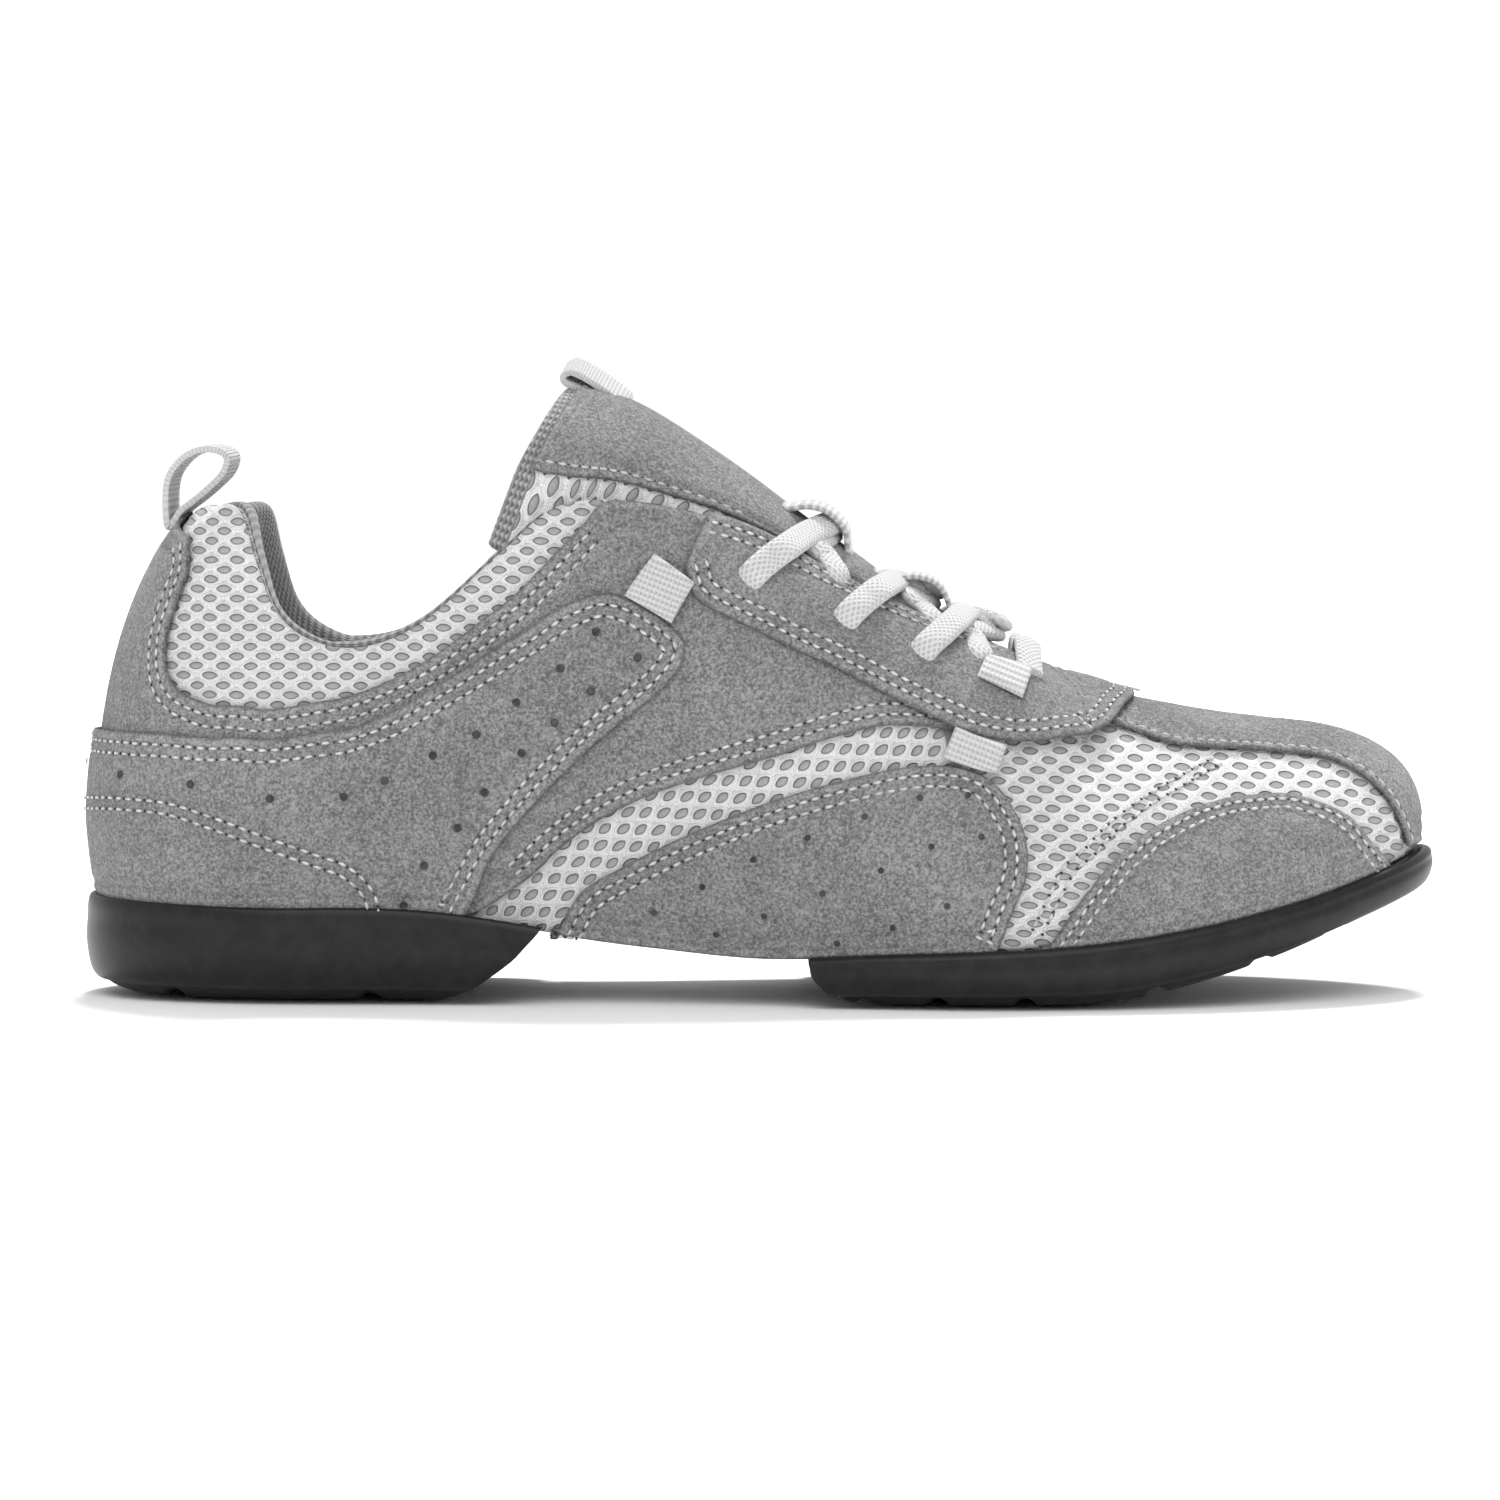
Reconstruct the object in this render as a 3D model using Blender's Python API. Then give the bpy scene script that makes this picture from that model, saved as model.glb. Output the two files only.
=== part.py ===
"""A split-sole dance sneaker, made as a right shoe. Metres, +Z up, +X to the toe.

The outer side of the shoe faces -Y. The origin is on the floor, under the middle of the heel.
Every form of the upper comes from one function, surface(around, rise, offset). `around` walks
round the last in degrees: 0 is the back of the heel, -180 and 180 the tip of the toe, and
negative values are the outer side. `rise` climbs from 0 at the bottom edge to 1 at the collar,
at the edge of the throat or, past the throat, at the ridge over the toes.
"""

import math

import bmesh
import bpy
import numpy as np
from mathutils import Vector

# Driving sizes
LENGTH = 0.2700
BALL_WIDTH = 0.0840
COLLAR_HEIGHT = 0.0975
HEEL_LIFT = 0.0175
TONGUE_HEIGHT = 0.1172
UPPER_WALL = 0.0020
SUEDE = 0.0012
WEBBING = 0.0012
WEBBING_WIDTH = 0.0100
INSOLE = 0.0035
TONGUE_WALL = 0.0045
COLLAR_PAD = 0.0045
LACE_WIDTH = 0.0052
LACE_THICKNESS = 0.0024
TOE_STRIP_WIDTH = 0.0240
LASTING_MARGIN = 0.0100
GROOVE_DEPTH = 0.0013
GROOVE_WIDTH = 0.0026
GAP = 0.0003
LAYER_GAP = 0.00055

# Places along the shoe, from the back of the heel
HEEL_REST = 0.148 * LENGTH
HEEL_END = 0.341 * LENGTH
FOREFOOT_START = 0.537 * LENGTH
FOREFOOT_REST = 0.660 * LENGTH
BACK_INSET = 0.0050
TOE_INSET = 0.0045
THROAT_TURN = 122.0
THROAT_ROUND = 12.0
PAD_END = 74.0

# The bottom edge of the upper: half width as a share of BALL_WIDTH, height of HEEL_LIFT
PLAN = (
    {"turn": 0, "half": 0.000, "height": 1.05},
    {"turn": 20, "half": 0.219, "height": 1.03},
    {"turn": 40, "half": 0.336, "height": 0.99},
    {"turn": 60, "half": 0.348, "height": 0.96},
    {"turn": 80, "half": 0.348, "height": 0.64},
    {"turn": 90, "half": 0.388, "height": 0.53},
    {"turn": 100, "half": 0.445, "height": 0.58},
    {"turn": 110, "half": 0.492, "height": 0.63},
    {"turn": 120, "half": 0.496, "height": 0.71},
    {"turn": 130, "half": 0.463, "height": 0.87},
    {"turn": 140, "half": 0.400, "height": 1.07},
    {"turn": 160, "half": 0.214, "height": 1.43},
    {"turn": 180, "half": 0.000, "height": 1.54},
)

# The top line: place as a share of LENGTH, half width of BALL_WIDTH, height of COLLAR_HEIGHT
TOP_LINE = (
    {"turn": 0, "along": 0.080, "half": 0.000, "height": 0.975},
    {"turn": 10, "along": 0.084, "half": 0.110, "height": 0.982},
    {"turn": 20, "along": 0.099, "half": 0.210, "height": 0.994},
    {"turn": 30, "along": 0.123, "half": 0.290, "height": 0.975},
    {"turn": 36, "along": 0.134, "half": 0.318, "height": 0.880},
    {"turn": 42, "along": 0.150, "half": 0.336, "height": 0.775},
    {"turn": 50, "along": 0.190, "half": 0.346, "height": 0.712},
    {"turn": 60, "along": 0.248, "half": 0.346, "height": 0.750},
    {"turn": 70, "along": 0.313, "half": 0.338, "height": 0.905},
    {"turn": 76, "along": 0.350, "half": 0.328, "height": 0.990},
    {"turn": 82, "along": 0.395, "half": 0.310, "height": 1.003},
    {"turn": 90, "along": 0.472, "half": 0.250, "height": 0.955},
    {"turn": 100, "along": 0.545, "half": 0.200, "height": 0.842},
    {"turn": 110, "along": 0.620, "half": 0.162, "height": 0.736},
    {"turn": 122, "along": 0.704, "half": 0.120, "height": 0.640},
    {"turn": 130, "along": 0.750, "half": 0.100, "height": 0.588},
    {"turn": 140, "along": 0.795, "half": 0.100, "height": 0.548},
    {"turn": 150, "along": 0.832, "half": 0.100, "height": 0.524},
    {"turn": 160, "along": 0.860, "half": 0.100, "height": 0.51},
    {"turn": 180, "along": 0.882, "half": 0.100, "height": 0.502},
)

# How the wall leaves the bottom edge and reaches the top line, as shares of COLLAR_HEIGHT
BULGE = (
    {"turn": 0, "low_out": 0.045, "low_up": 0.26, "top_out": 0.165, "top_up": -0.175},
    {"turn": 20, "low_out": 0.045, "low_up": 0.25, "top_out": 0.100, "top_up": -0.180},
    {"turn": 40, "low_out": 0.040, "low_up": 0.20, "top_out": 0.040, "top_up": -0.180},
    {"turn": 60, "low_out": 0.040, "low_up": 0.18, "top_out": 0.040, "top_up": -0.200},
    {"turn": 80, "low_out": 0.050, "low_up": 0.26, "top_out": 0.060, "top_up": -0.260},
    {"turn": 90, "low_out": 0.045, "low_up": 0.26, "top_out": 0.120, "top_up": -0.190},
    {"turn": 100, "low_out": 0.035, "low_up": 0.24, "top_out": 0.150, "top_up": -0.130},
    {"turn": 110, "low_out": 0.030, "low_up": 0.22, "top_out": 0.170, "top_up": -0.080},
    {"turn": 122, "low_out": 0.030, "low_up": 0.20, "top_out": 0.190, "top_up": 0.000},
    {"turn": 140, "low_out": 0.030, "low_up": 0.17, "top_out": 0.180, "top_up": 0.000},
    {"turn": 160, "low_out": 0.028, "low_up": 0.14, "top_out": 0.150, "top_up": 0.000},
    {"turn": 180, "low_out": 0.026, "low_up": 0.13, "top_out": 0.140, "top_up": 0.000},
)

# The last's curve: the centre line moves towards the inner side at the toe
SWING = (
    {"along": 0.00, "aside": 0.000},
    {"along": 0.20, "aside": 0.000},
    {"along": 0.42, "aside": -0.030},
    {"along": 0.58, "aside": -0.038},
    {"along": 0.74, "aside": -0.006},
    {"along": 0.87, "aside": 0.032},
    {"along": 0.96, "aside": 0.058},
    {"along": 1.00, "aside": 0.068},
)

# The tread's lower face: height as a share of HEEL_LIFT, which is the toe spring at the end
TREAD = (
    {"turn": 80, "height": 0.00},
    {"turn": 112, "height": 0.00},
    {"turn": 120, "height": 0.02},
    {"turn": 130, "height": 0.20},
    {"turn": 140, "height": 0.46},
    {"turn": 150, "height": 0.73},
    {"turn": 160, "height": 0.93},
    {"turn": 180, "height": 1.12},
)

# Side of each sole unit, top to bottom: share of its height, step out from the upper's edge
# and, as a share of LENGTH, how far its front or back end stops short
HEEL_SIDE = (
    {"share": 1.00, "out": 0.0024, "short": 0.000},
    {"share": 0.93, "out": 0.0032, "short": 0.004},
    {"share": 0.55, "out": 0.0046, "short": 0.022},
    {"share": 0.28, "out": 0.0038, "short": 0.043},
    {"share": 0.12, "out": 0.0010, "short": 0.060},
    {"share": 0.03, "out": -0.0040, "short": 0.074},
    {"share": 0.00, "out": -0.0080, "short": 0.085},
)
FOREFOOT_SIDE = (
    {"share": 1.00, "out": 0.0016, "short": 0.000},
    {"share": 0.93, "out": 0.0027, "short": -0.002},
    {"share": 0.62, "out": 0.0038, "short": 0.001},
    {"share": 0.36, "out": 0.0030, "short": 0.009},
    {"share": 0.18, "out": 0.0006, "short": 0.020},
    {"share": 0.05, "out": -0.0030, "short": 0.030},
    {"share": 0.00, "out": -0.0070, "short": 0.042},
)
GROOVES = (0.590, 0.642, 0.705, 0.797, 0.872, 0.925)
HEEL_GROOVES = (0.072, 0.215)

# Outlines of the suede pieces from the side: shares of LENGTH and of COLLAR_HEIGHT
QUARTER = (
    (-0.050, 0.120), (-0.050, 0.950), (0.074, 0.950), (0.078, 0.915), (0.073, 0.845),
    (0.067, 0.765), (0.064, 0.685), (0.070, 0.628), (0.089, 0.590), (0.115, 0.575),
    (0.158, 0.575), (0.195, 0.600), (0.237, 0.645), (0.274, 0.705), (0.310, 0.790),
    (0.339, 0.865), (0.360, 0.915), (0.382, 0.965), (0.400, 1.005), (0.410, 1.200),
    (0.735, 1.200), (0.729, 0.640), (0.695, 0.567), (0.642, 0.566), (0.598, 0.562),
    (0.555, 0.546), (0.512, 0.516), (0.469, 0.470), (0.426, 0.406), (0.382, 0.330),
    (0.339, 0.246), (0.310, 0.176), (0.290, 0.020),
)
HEEL_WING = (
    (-0.050, 0.050), (-0.050, 0.536), (0.058, 0.532), (0.094, 0.522), (0.137, 0.510),
    (0.187, 0.530), (0.238, 0.580), (0.274, 0.636), (0.310, 0.700), (0.339, 0.760),
    (0.361, 0.796), (0.382, 0.814), (0.407, 0.812), (0.432, 0.782), (0.442, 0.726),
    (0.439, 0.670), (0.418, 0.600), (0.390, 0.530), (0.361, 0.450), (0.331, 0.356),
    (0.306, 0.266), (0.287, 0.176), (0.272, 0.020),
)
EYESTAY = (
    (0.480, 1.250), (0.476, 1.000), (0.463, 0.955), (0.453, 0.906), (0.450, 0.856),
    (0.454, 0.812), (0.465, 0.792), (0.512, 0.726), (0.570, 0.652), (0.613, 0.594),
    (0.642, 0.552), (0.671, 0.526), (0.700, 0.530), (0.729, 0.556), (0.753, 0.600),
    (0.773, 0.680), (0.790, 1.250),
)
SIDE_PATCH = (
    (0.342, 0.020), (0.347, 0.156), (0.372, 0.200), (0.397, 0.246), (0.433, 0.300),
    (0.469, 0.350), (0.512, 0.394), (0.555, 0.426), (0.597, 0.450), (0.634, 0.460),
    (0.659, 0.452), (0.675, 0.416), (0.683, 0.346), (0.688, 0.276), (0.682, 0.206),
    (0.671, 0.146), (0.672, 0.020),
)
TOE_GUARD = (
    (0.711, 0.020), (0.707, 0.106), (0.720, 0.156), (0.739, 0.206), (0.768, 0.270),
    (0.800, 0.336), (0.825, 0.382), (0.851, 0.408), (0.876, 0.414), (0.901, 0.400),
    (0.922, 0.366), (0.938, 0.320), (0.948, 0.266), (0.953, 0.200), (0.960, 0.020),
)

# Webbing ties from the side: the middle, half length, half width and tilt in degrees
TIES = {
    "quarter": {"along": 0.423, "height": 0.826, "long": 0.0052, "wide": 0.0046, "tilt": -31},
    "vamp": {"along": 0.652, "height": 0.500, "long": 0.0055, "wide": 0.0030, "tilt": -20},
    "eyelet": {"along": 0.683, "height": 0.652, "long": 0.0050, "wide": 0.0042, "tilt": -22},
}

# The tongue's middle line: shares of LENGTH and TONGUE_HEIGHT, and the radius of its arch
TONGUE = (
    {"along": 0.364, "height": 1.000, "radius": 0.0235, "wrap": 82},
    {"along": 0.407, "height": 0.950, "radius": 0.0232, "wrap": 82},
    {"along": 0.452, "height": 0.894, "radius": 0.0225, "wrap": 78},
    {"along": 0.489, "height": 0.842, "radius": 0.0220, "wrap": 72},
    {"along": 0.519, "height": 0.792, "radius": 0.0215, "wrap": 66},
    {"along": 0.563, "height": 0.716, "radius": 0.0210, "wrap": 60},
    {"along": 0.600, "height": 0.654, "radius": 0.0205, "wrap": 55},
    {"along": 0.637, "height": 0.592, "radius": 0.0200, "wrap": 50},
    {"along": 0.674, "height": 0.534, "radius": 0.0190, "wrap": 46},
    {"along": 0.704, "height": 0.492, "radius": 0.0175, "wrap": 43},
    {"along": 0.730, "height": 0.464, "radius": 0.0160, "wrap": 40},
)

# Webbing loops seen from the side, each from its seam round and back, as shares of LENGTH
# and of COLLAR_HEIGHT
HEEL_LOOP = (
    (0.0580, 0.9565), (0.0530, 0.990), (0.0560, 1.030), (0.0700, 1.068), (0.0880, 1.082),
    (0.1030, 1.074), (0.1070, 1.048), (0.0970, 1.008), (0.0790, 0.998), (0.0660, 0.9680),
)
TONGUE_LOOP = (
    (0.4020, 1.176), (0.3900, 1.204), (0.3700, 1.234), (0.3540, 1.247), (0.3460, 1.238),
    (0.3500, 1.226), (0.3640, 1.214), (0.3850, 1.190),
)

# Lace rows: where the eyelet sits on the upper, and where the laces cross over the tongue
EYELET_RISE = 0.86
EYELET_TURNS = (92.5, 101.0, 108.8, 116.6)
CROSSINGS = (0.543, 0.605, 0.645)
BAR_SIDES = 6


def read(rows, key, column, at, parity=0):
    """A smooth curve through one column of a table, read at the places `at`.

    With parity 1 or -1 the table runs from 0 to 180 degrees and is mirrored past both ends.
    """
    knots = np.array([row[key] for row in rows], float)
    values = np.array([row[column] for row in rows], float)
    if parity:
        knots = np.concatenate([-knots[:0:-1], knots, 360 - knots[-2::-1]])
        values = np.concatenate([parity * values[:0:-1], values, parity * values[-2::-1]])
    slopes = np.gradient(values, knots)
    at = np.clip(np.asarray(at, float), knots[0], knots[-1])
    left = np.clip(np.searchsorted(knots, at) - 1, 0, len(knots) - 2)
    span = knots[left + 1] - knots[left]
    t = (at - knots[left]) / span
    return (
        values[left] * (1 + 2 * t) * (1 - t) ** 2
        + slopes[left] * span * t * (1 - t) ** 2
        + values[left + 1] * t * t * (3 - 2 * t)
        + slopes[left + 1] * span * t * t * (t - 1)
    )


def fold(around):
    """The turn from 0 to 180 that belongs to any place round the last."""
    turn = np.abs(around)
    return np.where(turn > 180, 360 - turn, turn)


def swing(x):
    """How far the last's centre line lies towards the inner side, x metres from the heel."""
    return BALL_WIDTH * read(SWING, "along", "aside", x / LENGTH)


def edge_along(around):
    """Distance of the upper's bottom edge from the back of the heel."""
    inner = LENGTH - BACK_INSET - TOE_INSET
    return BACK_INSET + inner * (1 - np.cos(np.radians(around))) / 2


def turn_at(along):
    """The turn at which the bottom edge is `along` from the back of the heel."""
    share = (along - BACK_INSET) / (LENGTH - BACK_INSET - TOE_INSET)
    return np.degrees(np.arccos(1 - 2 * np.clip(share, 0, 1)))


def under_height(x):
    """Height of the upper's underside, x metres from the back of the heel."""
    return HEEL_LIFT * read(PLAN, "turn", "height", turn_at(x), 1)


def bottom_edge(around, out=0.0):
    """Points of the upper's bottom edge, moved `out` along the level outward direction."""
    around = np.asarray(around, float)

    def plain(a):
        x = edge_along(a)
        y = swing(x) + BALL_WIDTH * read(PLAN, "turn", "half", a, -1)
        return x, y

    step = 0.5
    x, y = plain(around)
    x0, y0 = plain(around - step)
    x1, y1 = plain(around + step)
    dx, dy = x1 - x0, y1 - y0
    size = np.hypot(dx, dy)
    z = HEEL_LIFT * read(PLAN, "turn", "height", around, 1)
    return np.stack([x - out * dy / size, y + out * dx / size, z], -1)


def top_line(around):
    """Points of the collar, the edge of the throat or the ridge over the toes."""
    around = np.asarray(around, float)
    x = LENGTH * read(TOP_LINE, "turn", "along", around, 1)
    closing = np.clip((fold(around) - THROAT_TURN + THROAT_ROUND) / THROAT_ROUND, 0, 1)
    half = BALL_WIDTH * read(TOP_LINE, "turn", "half", around, -1) * np.sqrt(1 - closing**2)
    z = COLLAR_HEIGHT * read(TOP_LINE, "turn", "height", around, 1)
    return np.stack([x, swing(x) + half, z], -1)


def wall(around, rise):
    """The outer face of the plain upper: a cubic from the bottom edge to the top line."""
    around, rise = np.broadcast_arrays(np.asarray(around, float), np.asarray(rise, float))
    low, top = bottom_edge(around), top_line(around)
    level = bottom_edge(around, 1.0) - low
    away = low[..., :2] - top[..., :2]
    away = away / np.linalg.norm(away, axis=-1, keepdims=True)
    bulge = {
        key: COLLAR_HEIGHT * read(BULGE, "turn", key, around, 1)
        for key in ("low_out", "low_up", "top_out", "top_up")
    }
    low_handle = low + level * bulge["low_out"][..., None]
    low_handle[..., 2] += bulge["low_up"]
    top_handle = top.copy()
    top_handle[..., :2] += away * bulge["top_out"][..., None]
    step = 0.5
    turn = np.clip(fold(around), THROAT_TURN, 178)
    ahead, behind = top_line(turn + step), top_line(turn - step)
    slope = (ahead[..., 2] - behind[..., 2]) / (ahead[..., 0] - behind[..., 0])
    past_throat = np.clip((fold(around) - THROAT_TURN + THROAT_ROUND) / THROAT_ROUND, 0, 1)
    follow = slope * away[..., 0] * bulge["top_out"]
    top_handle[..., 2] += bulge["top_up"] * (1 - past_throat) + follow * past_throat
    t = rise[..., None]
    return (
        low * (1 - t) ** 3
        + 3 * low_handle * t * (1 - t) ** 2
        + 3 * top_handle * t * t * (1 - t)
        + top * t**3
    )


def surface(around, rise, offset=0.0):
    """wall() moved outwards by `offset` along its normal."""
    around, rise = np.broadcast_arrays(np.asarray(around, float), np.asarray(rise, float))
    turn_step, rise_step = 0.4, 0.004
    along = wall(around + turn_step, rise) - wall(around - turn_step, rise)
    upward = wall(around, np.minimum(rise + rise_step, 1)) - wall(around, np.maximum(rise - rise_step, 0))
    normal = np.cross(upward, along)
    normal /= np.linalg.norm(normal, axis=-1, keepdims=True)
    return wall(around, rise) + np.asarray(offset)[..., None] * normal


def spread(*legs):
    """Values from leg to leg: each leg is a start, an end and a number of steps."""
    values = [legs[0][0]]
    for start, end, steps in legs:
        values += [start + (end - start) * (i + 1) / steps for i in range(steps)]
    return values


def both_sides(turns):
    """The turns of one side, mirrored to the outer side and put in order round the last."""
    return [-turn for turn in reversed(turns) if 0 < turn] + list(turns)


def mesh_object(name, build, colour, rough=0.8, smooth=35):
    """A named object from a function that fills a bmesh. The origin is put under the heel."""
    bm = bmesh.new()
    build(bm)
    bmesh.ops.translate(bm, vec=(-HEEL_REST, 0, 0), verts=bm.verts)
    if all(edge.is_manifold for edge in bm.edges):
        bmesh.ops.recalc_face_normals(bm, faces=bm.faces)
    mesh = bpy.data.meshes.new(name)
    bm.to_mesh(mesh)
    bm.free()
    item = bpy.data.objects.new(name, mesh)
    bpy.context.scene.collection.objects.link(item)
    if colour:
        mesh.materials.append(material(colour, rough))
    mesh.shade_smooth()
    mesh.set_sharp_from_angle(angle=math.radians(smooth))
    return item


def material(colour, rough):
    """A plain Principled material, shared by every piece of one colour."""
    name = f"{colour}_finish"
    found = bpy.data.materials.get(name)
    if found:
        return found
    made = bpy.data.materials.new(name)
    made.use_nodes = True
    shader = made.node_tree.nodes["Principled BSDF"]
    grey = COLOURS[colour]
    shader.inputs["Base Color"].default_value = (grey, grey, grey, 1)
    shader.inputs["Roughness"].default_value = rough
    shader.inputs["Metallic"].default_value = 0
    return made


COLOURS = {"mesh": 0.62, "suede": 0.32, "rubber": 0.012, "webbing": 0.58, "lining": 0.16}

TURNS = spread((0, 24, 3), (24, 52, 6), (52, 112, 9), (112, THROAT_TURN, 3), (THROAT_TURN, 180, 9))
AROUND = both_sides(TURNS)[1:]
RISES = spread((0, 1, 10))
OVERLAY_RISES = spread((0.012, 1, 10))


def sheet(bm, offset, rises=RISES):
    """The upper's face as one sheet of quads. Past the throat its two halves join at the ridge."""
    around, rise = np.meshgrid(AROUND, rises, indexing="ij")
    grid = [[bm.verts.new(point) for point in row] for row in surface(around, rise, offset)]
    count = len(AROUND)
    for i in range(count):
        here, there = grid[i], grid[(i + 1) % count]
        for j in range(len(rises) - 1):
            bm.faces.new((here[j], here[j + 1], there[j + 1], there[j]))
    ridge = [grid[i][-1] for i in range(count) if abs(AROUND[i]) >= THROAT_TURN - 0.01]
    bmesh.ops.remove_doubles(bm, verts=ridge, dist=0.0002)
    return grid


def build_upper(bm):
    """Walls, the margin turned in under the last, and the arch closed between the soles."""
    grid = sheet(bm, 0.0)
    count = len(AROUND)
    margin = bottom_edge(np.array(AROUND), -LASTING_MARGIN)
    margin[:, 2] = under_height(margin[:, 0])
    turned = [bm.verts.new(point) for point in margin]
    for i in range(count):
        after = (i + 1) % count
        bm.faces.new((grid[i][0], grid[after][0], turned[after], turned[i]))
    outer = {round(AROUND[i], 3): turned[i] for i in range(count)}
    arch = [
        turn
        for turn in TURNS
        if HEEL_END - LASTING_MARGIN < edge_along(turn) < FOREFOOT_START + LASTING_MARGIN
    ]
    for near, far in zip(arch, arch[1:]):
        corners = [outer[round(t, 3)] for t in (near, far, -far, -near)]
        bm.faces.new(corners)


def make_upper():
    upper = mesh_object("upper", build_upper, "mesh")
    thicken(upper, UPPER_WALL, -1)
    return upper


def thicken(item, thickness, side):
    """Gives an open sheet its wall: side -1 puts it inside, 1 outside."""
    modifier = item.modifiers.new("wall", "SOLIDIFY")
    modifier.thickness = thickness
    modifier.offset = side
    modifier.use_even_offset = True
    return modifier


def closed_curve(points, per_span=3):
    """A closed outline through a few points, rounded between them."""
    points = [Vector(point) for point in points]
    count = len(points)
    made = []
    for i in range(count):
        before, start, end, after = (points[(i + k) % count] for k in (-1, 0, 1, 2))
        for step in range(per_span):
            t = step / per_span
            made.append(
                0.5
                * (
                    2 * start
                    + (end - before) * t
                    + (2 * before - 5 * start + 4 * end - after) * t * t
                    + (3 * start - before - 3 * end + after) * t**3
                )
            )
    return made


def cutter(name, outline, low, high, upright=False):
    """A closed prism that leaves its outline in a piece: drawn from the side or from above."""

    def build(bm):
        def place(point, depth):
            return (point[0], point[1], depth) if upright else (point[0], depth, point[1])

        base = bm.faces.new([bm.verts.new(place(point, low)) for point in outline])
        shift = Vector((0, 0, high - low)) if upright else Vector((0, high - low, 0))
        grown = bmesh.ops.extrude_face_region(bm, geom=[base])["geom"]
        bmesh.ops.translate(bm, vec=shift, verts=[v for v in grown if isinstance(v, bmesh.types.BMVert)])

    item = mesh_object(name, build, None)
    item.hide_render = True
    item.display_type = "WIRE"
    return item


def overlay(name, tool, layer, colour="suede", thickness=SUEDE):
    """A piece cut from a shell that follows the upper, `layer` layers out, to a cutter's outline."""
    start = layer * LAYER_GAP + (layer - 1) * SUEDE

    def build(bm):
        sheet(bm, start, OVERLAY_RISES)

    item = mesh_object(name, build, colour)
    thicken(item, thickness, 1)
    cut = item.modifiers.new("outline", "BOOLEAN")
    cut.operation = "INTERSECT"
    cut.object = tool
    cut.solver = "EXACT"
    return item


def side_outline(rows, per_span=1):
    return closed_curve([(x * LENGTH, z * COLLAR_HEIGHT) for x, z in rows], per_span)


def make_overlays():
    """The suede pieces that are stitched on the mesh."""
    reach = BALL_WIDTH
    overlay("quarter", cutter("quarter_outline", side_outline(QUARTER), -reach, reach), 1)
    overlay("heel_wing", cutter("wing_outline", side_outline(HEEL_WING), -reach, reach), 2)
    overlay("eyestay", cutter("eyestay_outline", side_outline(EYESTAY), -reach, reach), 2)
    for name, outline in (("side_patch", SIDE_PATCH), ("toe_guard", TOE_GUARD)):
        for side, low, high in (("outer", -reach, 0), ("inner", 0, reach)):
            tool = cutter(f"{name}_{side}_outline", side_outline(outline), low, high)
            overlay(f"{name}_{side}", tool, 1)
    overlay("toe_strip", cutter("strip_outline", strip_outline(), 0, COLLAR_HEIGHT, upright=True), 1)


def strip_outline():
    """The strip over the toes from above: an even width each side of the centre line."""
    stations = [x * LENGTH for x in spread((0.738, 1.02, 8))]
    half = TOE_STRIP_WIDTH / 2
    outer = [(x, float(swing(x)) - half) for x in stations]
    inner = [(x, float(swing(x)) + half) for x in reversed(stations)]
    return outer + inner


def tie_outline(row):
    """A short webbing tie from the side: a rectangle turned by its tilt."""
    tilt = math.radians(row["tilt"])
    corners = []
    for u, v in ((-1, -1), (1, -1), (1, 1), (-1, 1)):
        along, across = u * row["long"], v * row["wide"]
        corners.append(
            (
                row["along"] * LENGTH + along * math.cos(tilt) - across * math.sin(tilt),
                row["height"] * COLLAR_HEIGHT + along * math.sin(tilt) + across * math.cos(tilt),
            )
        )
    return corners


def make_ties():
    """Webbing ties on both sides, laid over the edges of the suede."""
    layers = {"quarter": 3, "vamp": 2, "eyelet": 3}
    for name, row in TIES.items():
        middle = float(swing(row["along"] * LENGTH))
        for side, low, high in (("outer", -BALL_WIDTH, middle), ("inner", middle, BALL_WIDTH)):
            tool = cutter(f"tie_{name}_{side}_outline", tie_outline(row), low, high)
            overlay(f"tie_{name}_{side}", tool, layers[name], "webbing", WEBBING)


def ladder(bm, loop, low_first):
    """Closes a loop that is even on both sides by rungs from side to side."""
    count = len(loop)
    for i in range(count // 2 - 1):
        rung = (loop[i], loop[i + 1], loop[count - 2 - i], loop[count - 1 - i])
        bm.faces.new(rung if low_first else rung[::-1])


def stack(bm, levels):
    """Joins loops of equal length into one closed body, with rungs across its two ends."""
    rings = [[bm.verts.new(point) for point in level] for level in levels]
    count = len(rings[0])
    for above, below in zip(rings, rings[1:]):
        for i in range(count):
            after = (i + 1) % count
            bm.faces.new((above[i], above[after], below[after], below[i]))
    ladder(bm, rings[0], True)
    ladder(bm, rings[-1], False)


def tread_height(turn):
    """Height of the forefoot's lower face above the floor."""
    return HEEL_LIFT * np.maximum(read(TREAD, "turn", "height", turn), 0)


def heel_levels():
    """The heel unit's outline at each height, from one front corner round to the other."""
    steps = 13
    levels = []
    for row in HEEL_SIDE:
        end = turn_at(HEEL_END - row["short"] * LENGTH)
        around = np.array([end * (2 * (i + 0.5) / (2 * steps) - 1) for i in range(2 * steps)])
        around[0], around[-1] = -end, end
        level = bottom_edge(around, row["out"])
        level[:, 2] = row["share"] * (level[:, 2] - GAP)
        levels.append(level)
    return levels


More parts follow.
